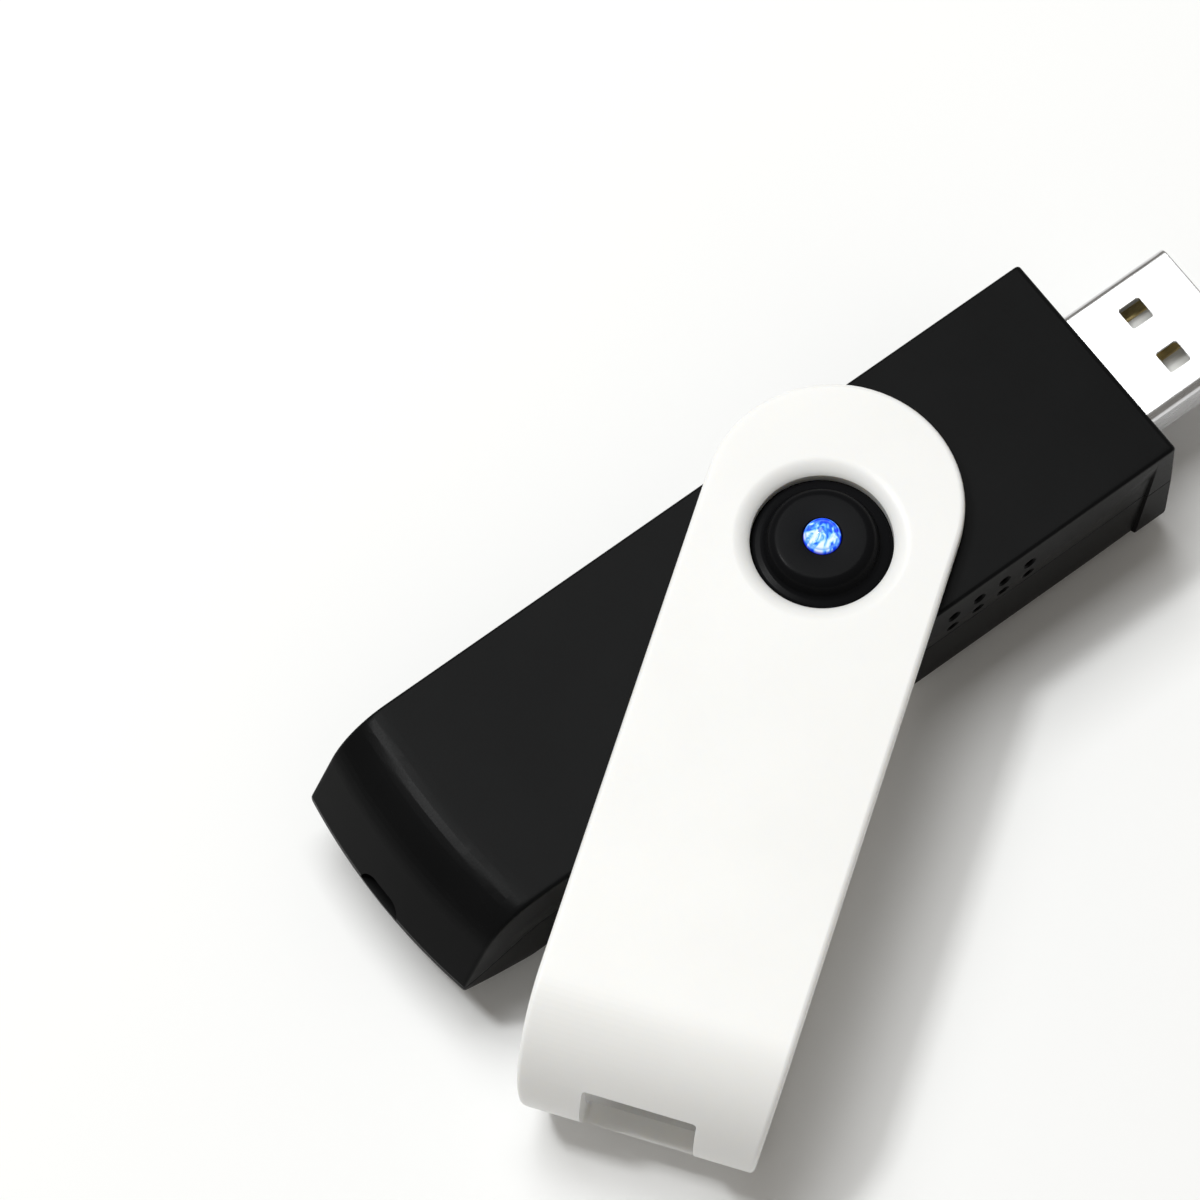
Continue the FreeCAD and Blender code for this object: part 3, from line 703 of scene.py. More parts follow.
def slice_at(work: Work, spots: Sequence[Vector], normal: Vector) -> None:
    """Cut edges into a mesh along parallel planes.

    Args:
        work: the mesh.
        spots: a point of each plane.
        normal: direction that the planes face.
    """
    for spot in spots:
        everything = list(work.verts) + list(work.edges) + list(work.faces)
        bmesh.ops.bisect_plane(work, geom=everything, plane_co=spot, plane_no=normal, dist=MERGE)


def steps_between(start: float, end: float, step: float) -> list[float]:
    """List evenly spaced values from start to end, no further apart than step."""
    count = max(1, math.ceil(abs(end - start) / step))
    return [start + (end - start) * place / count for place in range(count + 1)]


def ease(value: float, start: float, end: float) -> float:
    """Rise smoothly from 0 at start to 1 at end."""
    share = min(1.0, max(0.0, (value - start) / (end - start)))
    return share * share * (3 - 2 * share)


def fit_out(piece: Piece, material: Material, body: str, nodes: Sequence[str]) -> Piece:
    """Dress a piece and tie it to the frame.

    Args:
        piece: the finished mesh.
        material: its material.
        body: the moving body that it rides on.
        nodes: the frame's nodes that it stands for.

    Returns:
        The same piece.
    """
    piece.data.materials.clear()
    piece.data.materials.append(material)
    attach(piece, body)
    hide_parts(*nodes)
    LOG.info("%s: %d faces on %s", piece.name, len(piece.data.polygons), body)
    return piece


# ------------------------------------------------------------------------- frame's facts
class Body(enum.Enum):
    """The bodies that move against each other."""

    STICK = "stick"
    COVER = "cover"


def node_box(node: str) -> tuple[Vector, Vector]:
    """Give a node's lowest and highest corners in millimetres."""
    low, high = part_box(node)
    return low / MM, high / MM


def pivot() -> Vector:
    """Give the swivel's pivot in millimetres."""
    return Vector(frame["joints"][0]["pos_m"]) / MM


def mount(name: str) -> dict:
    """Give a mount of the record by its name."""
    return next(entry for entry in frame["record"]["mounts"] if entry["name"] == name)


# ------------------------------------------------------------------------------- case
@dataclass
class Case:
    """The two moulded shells of the case.

    Fields are in millimetres: the far end's bow, slope, ridge and bevel, the roundings of
    the edges and of the parting line, the walls, the gaps and reach of the cutters for
    plug, hub and outlet, the vents, the side hollows with the collar in front of them, and
    how finely the side walls are divided before the hollows are pressed in.
    """

    bow: float = 60.0
    bow_step: float = 1.0
    slope_run: float = 3.7
    ridge_level: float = -2.2
    ridge_flat: float = 0.4
    ridge_flat_low: float = 0.6
    ridge_rounding: Point = (0.3, 0.2)
    bevel_run: float = 7.0
    parting_run: float = 7.5
    shoulder: float = 6.0
    chin: float = 4.0
    front_rounding: float = 0.5
    edge: float = 0.3
    edge_low: float = 0.25
    edge_steps: int = 5
    seam: float = 0.1
    seam_rounding: float = 0.12
    skin: float = 1.5
    side_wall: float = 2.0
    cavity_run: float = 8.9
    cavity_corner: float = 0.6
    gap: float = 0.05
    plug_reach: float = 3.0
    plug_corner: float = 0.7
    hub_reach: float = 5.0
    hub_bore: float = 3.44
    vent_radius: float = 0.5
    vent_flare: float = 0.16
    vent_pitch: float = 2.63
    vent_first: float = 5.76
    vent_levels: Point = (3.75, 1.55)
    vents_in_row: int = 4
    vent_turns: int = 20
    outlet_half_width: float = 2.45
    outlet_half_height: float = 1.5
    outlet_corner: float = 1.4925
    outlet_lip: float = 2.6
    hollow_top: float = 2.4
    hollow_front_top: float = 5.4
    hollow_ledge: float = 0.18
    hollow_run: float = 2.4
    hollow_draft: float = 0.016
    hollow_edge: Point = (3.0, 0.6)
    fade: Point = (1.0, 10.0)
    sweep_run: float = 7.5
    sweep_power: float = 1.5
    collar_top: float = -1.8
    collar_lean: float = 0.13
    collar_step: float = 0.18
    level_margin: float = 0.6
    level_step: float = 0.45
    sweep_end: float = 1.6
    sweep_step: float = 0.5
    fade_end: float = 12.0
    fade_step: float = 0.8
    collar_start: float = 1.4
    collar_slice: float = 0.4
    low: Vector = field(init=False)
    high: Vector = field(init=False)

    def __post_init__(self) -> None:
        """Read the case's outer sizes from the frame."""
        upper_low, upper_high = node_box("upper_case")
        lower_low, _ = node_box("lower_case")
        self.low = Vector((upper_low.x, upper_low.y, lower_low.z))
        self.high = upper_high
        self.axis = self.low.x + self.bow

    def bowed(self, across: float, side: float) -> float:
        """Find where a point of the side view lies along the case.

        Args:
            across: its place in the side view, at the case's middle plane.
            side: its distance from the middle plane.

        Returns:
            Its place along the case, after the bow of the far end.
        """
        reach = self.axis - across
        if reach < self.bow / 2:
            return across
        return self.axis - math.sqrt(reach * reach - side * side)

    def hollow(self, across: float, level: float) -> float:
        """Find how deep the side hollow is.

        Args:
            across: place along the case.
            level: height.

        Returns:
            Depth of the hollow at that spot of the side wall.
        """
        front = self.collar_top + self.collar_lean * (level - self.hollow_front_top)
        swept = ease(across, self.collar_top - self.sweep_run, self.collar_top) ** self.sweep_power
        top = self.hollow_top + (self.hollow_front_top - self.hollow_top) * swept
        behind = ease(across, self.low.x, self.low.x + self.parting_run)
        top += (self.ridge_level - self.hollow_top) * (1 - behind)
        below = max(0.0, top - level)
        scoop = self.hollow_ledge * ease(below, 0.0, self.hollow_run) + self.hollow_draft * below
        fade = ease(across, self.low.x + self.fade[0], self.low.x + self.fade[1])
        collar = 1 - ease(across, front - self.collar_step, front)
        return scoop * fade * collar

    def shell(self, name: str, corners: Sequence[Sequence[float]]) -> Piece:
        """Build a solid shell of the case from its side view.

        Args:
            name: the piece's name.
            corners: the side view's corners, anticlockwise: two coordinates, the
                rounding of the corner and the rounding towards the side wall.

        Returns:
            The solid, not yet hollow.
        """
        outline = fillet([corner[:3] for corner in corners])
        roundings = [corners[place][3] for _, _, place in outline]
        directions = inward(outline)
        half = self.high.y
        rings = []
        for sign in (-1, 1):
            rounded = []
            for inset, rise in quarter(self.edge_steps):
                ring = []
                for (across, level, _), rounding, direction in zip(outline, roundings, directions):
                    side = sign * (half - rounding * (1 - rise))
                    place = Vector((across, level)) + direction * rounding * inset
                    ring.append(Vector((self.bowed(place.x, side), side, place.y)))
                rounded.append(ring)
            rings += rounded[::-1] if sign < 0 else rounded
            if sign < 0:
                inner = half - 2 * self.edge
                for side in steps_between(-inner, inner, self.bow_step):
                    rings.append([Vector((self.bowed(x, side), side, z)) for x, z, _ in outline])
        work = bmesh.new()
        bridge(work, rings)
        self.press_sides(work)
        return publish(name, work)

    def press_sides(self, work: Work) -> None:
        """Press the side hollows into a shell's side walls.

        Args:
            work: the shell's mesh, in millimetres.
        """
        top, front, step = self.hollow_front_top, self.collar_top, self.collar_step
        levels = steps_between(self.low.z + self.level_margin, top + self.level_margin, self.level_step)
        slice_at(work, [Vector((0, 0, level)) for level in levels], Vector((0, 0, 1)))
        backs = steps_between(front - self.sweep_run, front - self.sweep_end, self.sweep_step)
        backs += steps_between(self.low.x + self.fade[0], self.low.x + self.fade_end, self.fade_step)
        slice_at(work, [Vector((back, 0, 0)) for back in backs], Vector((1, 0, 0)))
        fronts = steps_between(front - step, front, step / 3)
        fronts += steps_between(front - self.collar_start, front - step, self.collar_slice)[:-1]
        leaning = Vector((1, 0, -self.collar_lean))
        slice_at(work, [Vector((along, 0, top)) for along in fronts], leaning)
        half = self.high.y
        for vertex in work.verts:
            share = ease(abs(vertex.co.y), half - self.hollow_edge[0], half - self.hollow_edge[1])
            if share > 0:
                depth = share * self.hollow(vertex.co.x, vertex.co.z)
                vertex.co.y -= math.copysign(depth, vertex.co.y)

    def openings(self, upper: bool) -> list[Piece]:
        """Make the cutters that both shells need: cavity, plug, outlet and hub.

        Args:
            upper: whether they are for the upper shell.

        Returns:
            The cutters.
        """
        side = self.high.y - self.side_wall
        floor, ceiling = self.low.z + self.skin, 2 * PAST
        if upper:
            floor, ceiling = -PAST, self.high.z - self.skin
        low = Vector((self.low.x + self.cavity_run, -side, floor))
        high = Vector((self.high.x - self.skin, side, ceiling))
        plug_low, plug_high = node_box("usb_shell")
        gap = Vector((0, self.gap, self.gap))
        plug = (
            Vector((-self.plug_reach, *plug_low.yz)) - gap,
            Vector((self.plug_reach, *plug_high.yz)) + gap)
        stem = node_box("upper_hub_cap" if upper else "lower_hub_cap")
        hub = Vector((pivot().x, 0, stem[0].z if upper else stem[1].z))
        out = Vector((0, 0, 1 if upper else -1))
        return [
            block("cavity_cutter", low, high, self.cavity_corner),
            block("plug_cutter", *plug, self.plug_corner),
            *self.outlet_cutters(upper),
            rod("hub_cutter", hub - out * PAST, hub + out * self.hub_reach, self.hub_bore),
        ]

    def outlet_cutters(self, upper: bool) -> list[Piece]:
        """Make the cutters of the ion outlet, which the lower shell closes with a lip.

        Args:
            upper: whether they are for the upper shell.

        Returns:
            The cutters.
        """
        half = Vector((0, self.outlet_half_width, self.outlet_half_height))
        outside = Vector((self.low.x - 2 * PAST, 0, self.ridge_level))
        behind = Vector((self.low.x + self.outlet_lip, 0, self.ridge_level))
        inside = Vector((self.low.x + self.cavity_run + PAST, 0, self.ridge_level))
        if upper:
            return [block("outlet_cutter", outside - half, inside + half, self.outlet_corner)]
        mouth_low = outside - half * Vector((0, 1, 0))
        mouth_high = behind + Vector((self.gap, self.outlet_half_width, PAST - self.ridge_level))
        return [
            block("outlet_cutter", behind - half, inside + half, self.outlet_corner),
            block("mouth_cutter", mouth_low, mouth_high, self.gap)]

    def vent_cutters(self) -> list[Piece]:
        """Make a cutter for each vent, through both side walls, with flared mouths.

        Returns:
            The cutters.
        """
        cutters = []
        spokes = circle(self.vent_turns)
        flare, past = self.vent_radius + self.vent_flare, PAST / 2
        for place in range(self.vents_in_row):
            along = pivot().x + self.vent_first + place * self.vent_pitch
            for level in self.vent_levels:
                mouth = self.high.y - self.hollow(along, level)
                throat = mouth - self.vent_flare
                spots = (
                    (-mouth - past, flare + past), (-mouth, flare), (-throat, self.vent_radius),
                    (throat, self.vent_radius), (mouth, flare), (mouth + past, flare + past))
                work = bmesh.new()
                bridge(work, [
                    [Vector((along + radius * x, side, level + radius * z)) for x, z in spokes]
                    for side, radius in spots])
                cutters.append(publish("vent_cutter", work))
        return cutters

    def side_views(self) -> dict[str, Sequence[Sequence[float]]]:
        """Draw both shells from the side.

        Returns:
            The corners of each side view, by the name of the half.
        """
        low, high = self.low, self.high
        ridge = self.ridge_level
        joint = (
            (high.x, 0.0, self.seam_rounding, self.seam),
            (low.x + self.parting_run, 0.0, 0.0, self.seam),
            (low.x, ridge, self.seam_rounding, self.seam),
        )
        upper = (
            joint[0],
            (high.x, high.z, self.front_rounding, self.edge),
            (low.x + self.slope_run, high.z, self.shoulder, self.edge),
            (low.x, ridge + self.ridge_flat, *self.ridge_rounding),
            joint[2],
            joint[1],
        )
        lower = (
            (high.x, low.z, self.front_rounding, self.edge_low),
            *joint,
            (low.x, ridge - self.ridge_flat_low, *self.ridge_rounding),
            (low.x + self.bevel_run, low.z, self.chin, self.edge_low),
        )
        return {"upper": upper, "lower": lower}

    def dress(self, material: Material) -> None:
        """Build and fit out both shells.

        Args:
            material: the case's plastic.
        """
        for half, corners in self.side_views().items():
            upper = half == "upper"
            shell = self.shell(half + "_shell", corners)
            carve(shell, self.openings(upper) + (self.vent_cutters() if upper else []))
            even_shading(shell)
            fit_out(shell, material, Body.STICK.value, (half + "_case",))


# ------------------------------------------------------------------------------- cover
@dataclass
class Cover:
    """The one-piece U-shaped cover that swivels over the plug.

    Fields are in millimetres: its plates and their half widths, how far behind the pivot
    the round ends are centred, the roundings of its rims, the hub holes with the straight
    part of their walls and the recess round them, the slot, and how finely it is divided.
    """

    plate: float = 1.7
    inner: float = 6.95
    wide: float = 10.75
    narrow: float = 9.35
    reach: float = 50.7
    end_offset: float = 3.4
    rim: float = 0.45
    inner_rim: float = 0.3
    hole: float = 5.93
    land: float = 0.95
    recess: float = 7.4
    recess_ease: float = 0.8
    recess_steps: int = 12
    recess_gap: float = 0.02
    slot_width: float = 9.6
    slot_height: float = 7.4
    slot_corner: float = 0.35
    bend_step: float = math.radians(3.6)
    end_steps: int = 40
    edge_steps: int = 4

    @property
    def outer(self) -> float:
        """Height of the outer faces."""
        return self.inner + self.plate

    @property
    def bend_start(self) -> float:
        """Distance from the pivot to the middle of the bend."""
        return self.reach - self.outer

    @property
    def bend_length(self) -> float:
        """Length of the bend along the middle of the plate."""
        return math.pi * (self.inner + self.plate / 2)

    def half_width(self, angle: float) -> float:
        """Find the half width at an angle of the bend, from 0 above to pi below."""
        level = math.cos(angle)
        return self.narrow + (self.wide - self.narrow) * (1 + level) / 2

    def round_end(self, middle: float, radius: float, start: float) -> list[Point]:
        """Draw a round end as a half circle from a start angle on."""
        angles = [start + math.pi * step / self.end_steps for step in range(self.end_steps + 1)]
        return [(middle + radius * math.cos(angle), radius * math.sin(angle)) for angle in angles]

    def outline(self) -> list[Point]:
        """Draw the cover flat.

        Returns:
            The outline's points, anticlockwise, as distances along and across it.
        """
        near, far = self.bend_start, self.bend_start + self.bend_length
        end = far + self.bend_start + self.end_offset
        angles = steps_between(0.0, math.pi, self.bend_step)
        right = [(near + self.bend_length * angle / math.pi, -self.half_width(angle)) for angle in angles]
        left = [(along, -across) for along, across in reversed(right)]
        lower_end = self.round_end(end, self.narrow, -math.pi / 2)
        upper_end = self.round_end(-self.end_offset, self.wide, math.pi / 2)
        return right + lower_end + left + upper_end

    def bent(self, spot: Vector) -> Vector:
        """Carry a point of the flat cover to its place in the U.

        Args:
            spot: distance along, across and up from the inner face.

        Returns:
            The point with the pivot at the origin and the bend towards +X.
        """
        past = spot.x - self.bend_start
        if past <= 0:
            return Vector((spot.x, spot.y, self.inner + spot.z))
        if past >= self.bend_length:
            return Vector((self.bend_start - (past - self.bend_length), spot.y, -self.inner - spot.z))
        angle = math.pi * past / self.bend_length
        radius = self.inner + spot.z
        return Vector((self.bend_start + radius * math.sin(angle), spot.y, radius * math.cos(angle)))

    def build_strip(self) -> Piece:
        """Build the bent strip with its rounded rims.

        Returns:
            The strip, still without its holes.
        """
        outline = self.outline()
        directions = inward(outline)
        levels = []
        for inset, rise in reversed(quarter(self.edge_steps)):
            levels.append((self.inner_rim * inset, self.inner_rim * (1 - rise)))
        for inset, rise in quarter(self.edge_steps):
            levels.append((self.rim * inset, self.plate - self.rim * (1 - rise)))
        rings = []
        for inset, level in levels:
            rings.append([
                Vector((along + way.x * inset, across + way.y * inset, level))
                for (along, across), way in zip(outline, directions)])
        work = bmesh.new()
        bridge(work, rings)
        near = self.bend_start
        spots = steps_between(near, near + self.bend_length, self.bend_length * self.bend_step / math.pi)
        slice_at(work, [Vector((spot, 0, 0)) for spot in spots], Vector((1, 0, 0)))
        for vertex in work.verts:
            vertex.co = self.bent(vertex.co)
        return publish("cover_skin", work)

    def hub_cutter(self, sign: int) -> Piece:
        """Make the cutter for a hub hole with its flared recess.

        Args:
            sign: 1 for the upper plate and -1 for the lower one.

        Returns:
            The cutter.
        """
        start, rise = self.inner + self.land, self.plate - self.land
        bottom, top = self.inner - 2 * PAST, self.outer + 2 * PAST
        profile = [(0.0, bottom), (self.hole, bottom), (self.hole, start)]
        for step in range(1, self.recess_steps + 1):
            share = step / self.recess_steps
            height = rise * math.sin(math.pi / 2 * share) ** self.recess_ease
            profile.append((self.hole + (self.recess - self.hole) * share, start + height))
        profile += [(self.recess + self.recess_gap, top), (0.0, top)]
        return lathe("hub_hole_cutter", [(radius, sign * level) for radius, level in profile])

    def dress(self, material: Material) -> None:
        """Build, place and fit out the cover.

        Args:
            material: the cover's plastic.
        """
        strip = self.build_strip()
        half_wide, half_high = self.slot_width / 2, self.slot_height / 2
        low = Vector((self.bend_start, -half_wide, -half_high))
        high = Vector((self.reach + 3 * PAST, half_wide, half_high))
        slot = block("slot_cutter", low, high, self.slot_corner)
        carve(strip, [self.hub_cutter(1), self.hub_cutter(-1), slot])
        way = mount("lanyard_slot")["axis"]
        turn = Matrix.Rotation(math.atan2(way[1], way[0]), 4, "Z")
        strip.data.transform(Matrix.Translation(pivot() * MM) @ turn)
        even_shading(strip)
        fit_out(strip, material, Body.COVER.value, ("swivel_cover",))


# -------------------------------------------------------------------------------- hubs
@dataclass
class Hub:
    """The two hub caps and the lit lens.

    Fields are in millimetres: radii, height and roundings of the cap's rim, how far the rim
    falls outwards, the neck, the plateau with its shallow dish, the stem, the bore, and the
    lens with the height of its base.
    """

    rim_radius: float = 5.85
    rim_height: float = 0.95
    rim_rounding: float = 0.55
    rim_fall: float = 0.22
    neck_radius: float = 4.85
    neck_rounding: float = 0.5
    plateau_radius: float = 4.25
    plateau_rounding: float = 1.0
    dish: float = 0.06
    stem_radius: float = 3.4
    stem_rounding: float = 0.1
    bore: float = 1.58
    bore_flare: float = 0.12
    lens_radius: float = 1.55
    lens_base: float = 1.0
    dome_rings: int = 10

    def cap(self, node: str, sign: int, bored: bool) -> Piece:
        """Build a hub cap.

        Args:
            node: the frame's node that it stands for.
            sign: 1 for the upper cap and -1 for the lower one.
            bored: whether the lens comes through it.

        Returns:
            The cap.
        """
        low, high = node_box(node)
        face = node_box("upper_case")[1].z
        top = high.z if sign > 0 else -low.z
        bottom = low.z if sign > 0 else -high.z
        inside = self.bore if bored else 0.0
        flare = self.bore_flare if bored else 0.0
        middle = top - self.dish
        corners = [
            (inside, bottom, 0.0),
            (self.stem_radius, bottom, self.stem_rounding),
            (self.stem_radius, face, 0.0),
            (self.rim_radius, face, 0.0),
            (self.rim_radius, face + self.rim_height - self.rim_fall, self.rim_rounding),
            (self.neck_radius, face + self.rim_height, self.neck_rounding),
            (self.plateau_radius, top, self.plateau_rounding),
            (self.plateau_radius / 2, top - self.dish / 2, 0.0),
            (inside + flare, middle, 0.0),
        ]
        if bored:
            corners.append((inside, middle - flare, 0.0))
        profile = [(radius, sign * level) for radius, level, _ in fillet(corners)]
        return lathe(node + "_skin", profile, pivot().xy)

    def lens(self) -> Piece:
        """Build the lens: a straight neck under a dome, on its base flange.

        Returns:
            The lens.
        """
        low, high = node_box("indicator_diode")
        radius = self.lens_radius
        springing = high.z - radius
        flange, base = (high.x - low.x) / 2, low.z + self.lens_base
        profile = [(0.0, low.z), (flange, low.z), (flange, base), (radius, base)]
        for step in range(self.dome_rings + 1):
            angle = math.pi / 2 * step / self.dome_rings
            profile.append((radius * math.cos(angle), springing + radius * math.sin(angle)))
        return lathe("lens", profile, pivot().xy)

    def dress(self, plastic: Material, lit: Material) -> None:
        """Build and fit out the caps and the lens.

        Args:
            plastic: the caps' plastic.
            lit: the lens's material.
        """
        for node, sign, bored in (("upper_hub_cap", 1, True), ("lower_hub_cap", -1, False)):
            cap = self.cap(node, sign, bored)
            even_shading(cap)
            fit_out(cap, plastic, Body.STICK.value, (node,))
        lens = self.lens()
        even_shading(lens)
        fit_out(lens, lit, Body.STICK.value, ("indicator_diode",))


# -------------------------------------------------------------------------------- plug
@dataclass
class Plug:
    """The USB plug: folded steel shell, tongue and contacts.

    Fields are in millimetres: the sheet, its corners and the lip of its mouth, the latch
    windows, the seam underneath, the tongue with its block and roundings, and the
    contacts, each with its place across and its length.
    """

    sheet: float = 0.3
    corner: float = 0.75
    least_corner: float = 0.2
    lip: float = 0.14
    window: float = 2.2
    window_corner: float = 0.25
    window_pitch: float = 5.0
    window_inset: float = 5.6
    seam: float = 0.1
    seam_corner: float = 0.02
    block_length: float = 8.5
    block_rounding: float = 0.2
    tip_rounding: float = 0.35
    tongue_rounding: float = 0.15
    tongue_steps: int = 3
    contacts: tuple[Point, ...] = ((-3.5, 7.4), (-1.0, 6.4), (1.0, 6.4), (3.5, 7.4))
    contact_width: float = 1.0
    contact_edge: float = 0.05
    contact_roundings: Point = (0.12, 0.08)

    def build_shell(self) -> Piece:
        """Build the folded steel shell with its windows and its seam.

        Returns:
            The shell.
        """
        low, high = node_box("usb_shell")
        rings = []
        lip = self.lip
        for inset, back in ((0.0, low.x), (0.0, high.x - lip), (lip / 3, high.x - lip / 3), (lip, high.x),
                            (self.sheet, high.x), (self.sheet, low.x)):
            outer = (low.y + inset, low.z + inset), (high.y - inset, high.z - inset)
            outline = oblong(*outer, max(self.corner - inset, self.least_corner))
            rings.append([Vector((back, across, level)) for across, level, _ in outline])
        work = bmesh.new()
        bridge(work, rings + rings[:1], capped=False)
        bmesh.ops.remove_doubles(work, verts=work.verts, dist=MERGE)
        shell = publish("plug_shell", work)
        carve(shell, self.shell_cutters(low, high))
        even_shading(shell)
        return shell

    def shell_cutters(self, low: Vector, high: Vector) -> list[Piece]:
        """Make the cutters for the latch windows and the seam.

        Args:
            low: lowest corner of the shell.
            high: highest corner of the shell.

        Returns:
            The cutters.
        """
        middle = high.x - self.window_inset
        half = self.window / 2
        cutters = []
        for across in (-self.window_pitch / 2, self.window_pitch / 2):
            corners = (
                Vector((middle - half, across - half, low.z - PAST)),
                Vector((middle + half, across + half, high.z + PAST)))
            cutters.append(block("window_cutter", *corners, self.window_corner, along=2))
        seam_low = Vector((low.x - PAST, -self.seam / 2, low.z - PAST))
        seam_high = Vector((high.x + PAST, self.seam / 2, low.z + self.sheet / 2))
        cutters.append(block("seam_cutter", seam_low, seam_high, self.seam_corner))
        return cutters

    def build_tongue(self) -> Piece:
        """Build the tongue on the block that closes the shell behind it.

        Returns:
            The tongue.
        """
        low, high = node_box("usb_tongue")
        contact_low, _ = node_box("usb_contacts")
        step, face, rounding = low.x + self.block_length, contact_low.z, self.tongue_rounding
        outline = fillet([
            (low.x, low.z, self.block_rounding), (high.x, low.z, self.tip_rounding),
            (high.x, face, self.tip_rounding), (step, face, rounding),
            (step, high.z, self.block_rounding), (low.x, high.z, self.block_rounding)])
        directions = inward(outline)
        rings = []
        for sign in (-1, 1):
            rounded = []
            for inset, rise in quarter(self.tongue_steps):
                side = sign * (high.y - rounding * (1 - rise))
                rounded.append([
                    Vector((x + way.x * rounding * inset, side, z + way.y * rounding * inset))
                    for (x, z, _), way in zip(outline, directions)])
            rings += rounded[::-1] if sign < 0 else rounded
        work = bmesh.new()
        bridge(work, rings)
        tongue = publish("plug_tongue", work)
        even_shading(tongue)
        return tongue

    def build_contacts(self) -> Piece:
        """Build the four contact strips as one piece.

        Returns:
            The contacts.
        """
        low, high = node_box("usb_contacts")
        work = bmesh.new()
        half, edge = self.contact_width / 2, self.contact_edge
        front, back = self.contact_roundings
        for across, length in self.contacts:
            outline = fillet([
                (high.x - length, low.z, 0.0), (high.x, low.z, 0.0), (high.x, high.z, front),
                (high.x - length, high.z, back)])
            bridge(work, [
                [Vector((x, across + side, max(low.z, z - inset))) for x, z, _ in outline]
                for side, inset in ((-half, edge), (-half + edge, 0.0), (half - edge, 0.0), (half, edge))])
        contacts = publish("plug_contacts", work)
        even_shading(contacts)
        return contacts

    def dress(self, steel: Material, plastic: Material, gold: Material) -> None:
        """Build and fit out the plug's pieces.

        Args:
            steel: the shell's metal.
            plastic: the tongue's plastic.
            gold: the contacts' plating.
        """
        stick = Body.STICK.value
        fit_out(self.build_shell(), steel, stick, ("usb_shell",))
        fit_out(self.build_tongue(), plastic, stick, ("usb_tongue",))
        fit_out(self.build_contacts(), gold, stick, ("usb_contacts",))


# ------------------------------------------------------------------------- electronics
class Electronics:
    """The parts inside the case, which keep the frame's own shapes."""

    finishes: dict[str, Moulded | Metal | WoundWire] = {
        "board_laminate": Moulded("solder_mask", (0.03, 0.16, 0.07), 0.3, 0.05, 0.5, 0.4 * MM, 0.01 * MM),
        "tinned_lead": Metal("tinned_wire", (0.75, 0.75, 0.76), 0.3),
        "ferrite": Moulded("ferrite", (0.06, 0.06, 0.065), 0.6, 0.1, 0.4, 0.1 * MM, 0.02 * MM),
        "bobbin_plastic": Moulded("bobbin_plastic", (0.85, 0.83, 0.75), 0.5, 0.05),
        "copper_wire": WoundWire("enamelled_wire", (0.72, 0.36, 0.18)),
        "ceramic_disc": Moulded("dipped_ceramic", (0.07, 0.25, 0.55), 0.25, 0.05, 0.5, 0.6 * MM, 0.03 * MM),
        "diode_body": Moulded("diode_epoxy", (0.03, 0.03, 0.03), 0.4, 0.05),
        "resistor_body": Moulded("resistor_lacquer", (0.55, 0.44, 0.28), 0.3, 0.05, 0.5, 0.5 * MM, 0.02 * MM),
        "capacitor_sleeve": Moulded(
            "shrink_sleeve", (0.05, 0.06, 0.12), 0.25, 0.05, 0.5, 0.8 * MM, 0.01 * MM),
        "transistor_body": Moulded("transistor_epoxy", (0.03, 0.03, 0.03), 0.45, 0.05),
        "chip_body": Moulded("chip_ceramic", (0.05, 0.05, 0.05), 0.35, 0.05),
        "holder_plastic": Moulded("holder_plastic", (0.75, 0.73, 0.68), 0.45, 0.05),
        "needle_steel": Metal("needle_steel", (0.7, 0.7, 0.72), 0.18),
        "wire_insulation": Moulded("wire_insulation", (0.75, 0.06, 0.05), 0.45, 0.05),
    }

    def dress(self) -> None:
        """Give each carried-over node the material of its slot."""
        materials = {slot: finish.make() for slot, finish in self.finishes.items()}
        for entry in frame["record"]["subparts"]:
            material = materials.get(entry["material_slot"])
            if material is None:
                continue
            node = frame["nodes"][entry["node"]]
            node.data.materials.clear()
            node.data.materials.append(material)
            LOG.info("%s: carried over with %s", node.name, material.name)


# ------------------------------------------------------------------------------ studio
@dataclass
class SoftBox:
    """A square studio light that faces the object.

    Fields: name, direction from the object as azimuth and elevation in degrees,
    distance and size in metres, power in watts, and colour.
    """

    name: str
    azimuth: float
    elevation: float
    distance: float
    size: float
    power: float
    colour: Colour

    def hang(self, target: Vector) -> None:
        """Hang the light.

        Args:
            target: the point that it faces.
        """
        light = bpy.data.lights.new(self.name, "AREA")
        light.shape = "SQUARE"
        light.size = self.size
        light.energy = self.power
        light.color = self.colour
        lamp = bpy.data.objects.new(self.name, light)
        back = direction(self.azimuth, self.elevation)
        lamp.location = target + back * self.distance
        lamp.rotation_euler = back.to_track_quat("Z", "Y").to_euler()
        bpy.context.scene.collection.objects.link(lamp)


def direction(azimuth: float, elevation: float) -> Vector:
    """Give the direction from the object to a viewer at two angles in degrees."""
    turn, rise = math.radians(azimuth), math.radians(elevation)
    return Vector((math.sin(turn) * math.cos(rise), -math.cos(turn) * math.cos(rise), math.sin(rise)))


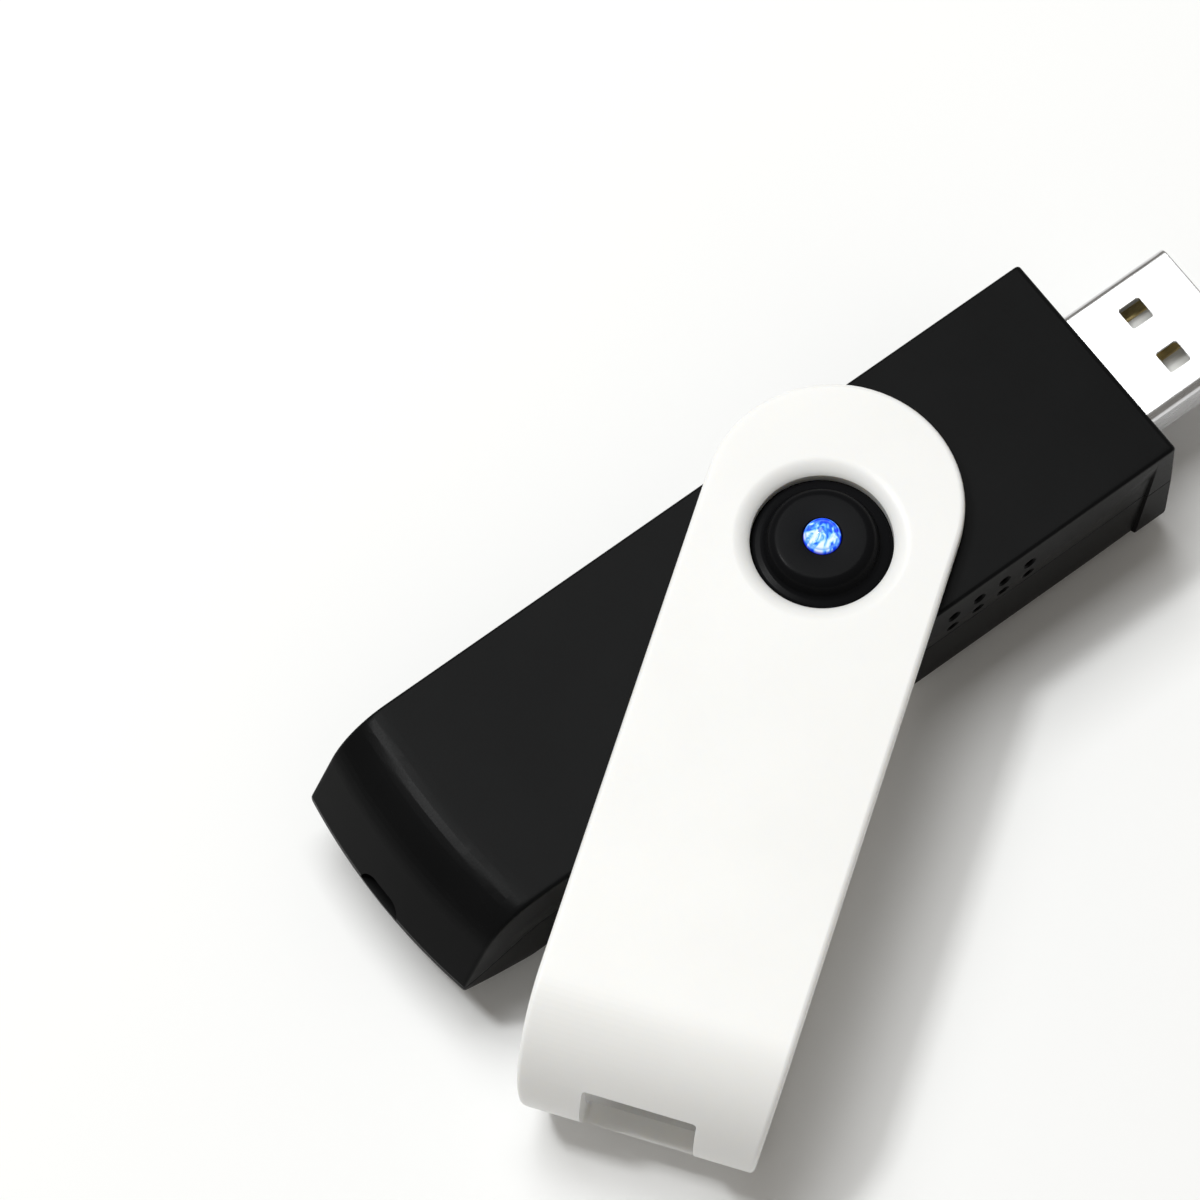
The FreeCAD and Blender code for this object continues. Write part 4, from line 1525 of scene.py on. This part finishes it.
@dataclass
class Stage:
    """Floor, light and camera.

    Fields: the camera's angles in degrees, its distance in metres, its lens and film in
    millimetres, the nearest and farthest it sees in metres, how far beside and above the
    hub it aims, the floor's size and finish, the glow of the room, and the lights.
    """

    azimuth: float = -37.08
    elevation: float = 67.0
    distance: float = 0.645
    lens: float = 236.1
    film: float = 36.0
    sight: Point = (0.01, 50.0)
    aim_right: float = -18.15 * MM
    aim_up: float = -4.26 * MM
    floor_size: float = 6.0
    floor_cells: int = 8
    floor_finish: Studio = Studio("pale_floor", (0.95, 0.95, 0.95))
    room: float = 0.25
    room_colour: Colour = (1.0, 0.955, 0.88)
    lights: tuple[SoftBox, ...] = (
        SoftBox("key", 176.0, 67.0, 1.0, 0.62, 6.3, (0.985, 1.0, 1.0)),
        SoftBox("accent", -140.0, 63.0, 1.0, 0.12, 3.2, (0.985, 1.0, 1.0)),
    )

    def place_camera(self) -> None:
        """Place the camera."""
        back = direction(self.azimuth, self.elevation)
        right = Vector((0, 0, 1)).cross(back).normalized()
        up = back.cross(right)
        hub = Vector((pivot().x, 0.0, node_box("upper_case")[1].z)) * MM
        optics = bpy.data.cameras.new("camera")
        optics.lens = self.lens
        optics.sensor_width = self.film
        optics.clip_start, optics.clip_end = self.sight
        camera = bpy.data.objects.new("camera", optics)
        camera.location = hub + right * self.aim_right + up * self.aim_up + back * self.distance
        camera.rotation_euler = Matrix((right, up, back)).transposed().to_euler()
        bpy.context.scene.collection.objects.link(camera)
        bpy.context.scene.camera = camera

    def lay_floor(self) -> None:
        """Lay the floor under the object's lowest face."""
        low, high = CAD_BOUNDS
        middle = (low + high) / 2
        work = bmesh.new()
        cells, half = self.floor_cells, self.floor_size / 2 / MM
        bmesh.ops.create_grid(work, x_segments=cells, y_segments=cells, size=half)
        bmesh.ops.translate(work, verts=work.verts, vec=Vector((middle.x, middle.y, low.z)) / MM)
        floor = publish("floor", work)
        floor.data.materials.append(self.floor_finish.make())

    def light(self) -> None:
        """Hang the lights and set the even glow of the room."""
        low, high = CAD_BOUNDS
        for box in self.lights:
            box.hang((low + high) / 2)
        world = bpy.data.worlds.new("room")
        world.use_nodes = True
        glow = world.node_tree.nodes["Background"]
        glow.inputs["Color"].default_value = (*self.room_colour, 1.0)
        glow.inputs["Strength"].default_value = self.room
        bpy.context.scene.world = world
        bpy.context.scene.view_settings.view_transform = "Standard"

    def build(self) -> None:
        """Set up camera, floor and light."""
        self.place_camera()
        self.lay_floor()
        self.light()


def main() -> None:
    """Build the object in order and report each piece."""
    logging.basicConfig(level=logging.INFO, format="%(name)s: %(message)s")
    Stage().build()
    case_plastic = Moulded("black_plastic", (0.0054, 0.0055, 0.0057), 0.3, 0.04, 0.034, depth=0.004 * MM)
    Case().dress(case_plastic.make())
    Cover().dress(MilkyPlastic("white_plastic", (0.865, 0.862, 0.85)).make())
    _, lens_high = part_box("indicator_diode")
    middle = Vector((pivot().x * MM, 0.0, lens_high.z - Hub.lens_radius * MM))
    lit = LitLens("lit_lens", middle, Hub.lens_radius * MM).make()
    cap_plastic = Moulded("cap_plastic", (0.0055, 0.0056, 0.0062), 0.26, 0.03, 0.03, depth=0.003 * MM)
    Hub().dress(cap_plastic.make(), lit)
    Plug().dress(
        Metal("plated_steel", (0.72, 0.72, 0.73)).make(),
        Moulded("tongue_plastic", (0.8, 0.8, 0.78), 0.45, 0.05).make(),
        Metal("gold_plating", (0.83, 0.66, 0.3), 0.2).make())
    Electronics().dress()


if __name__ == "__main__":
    main()
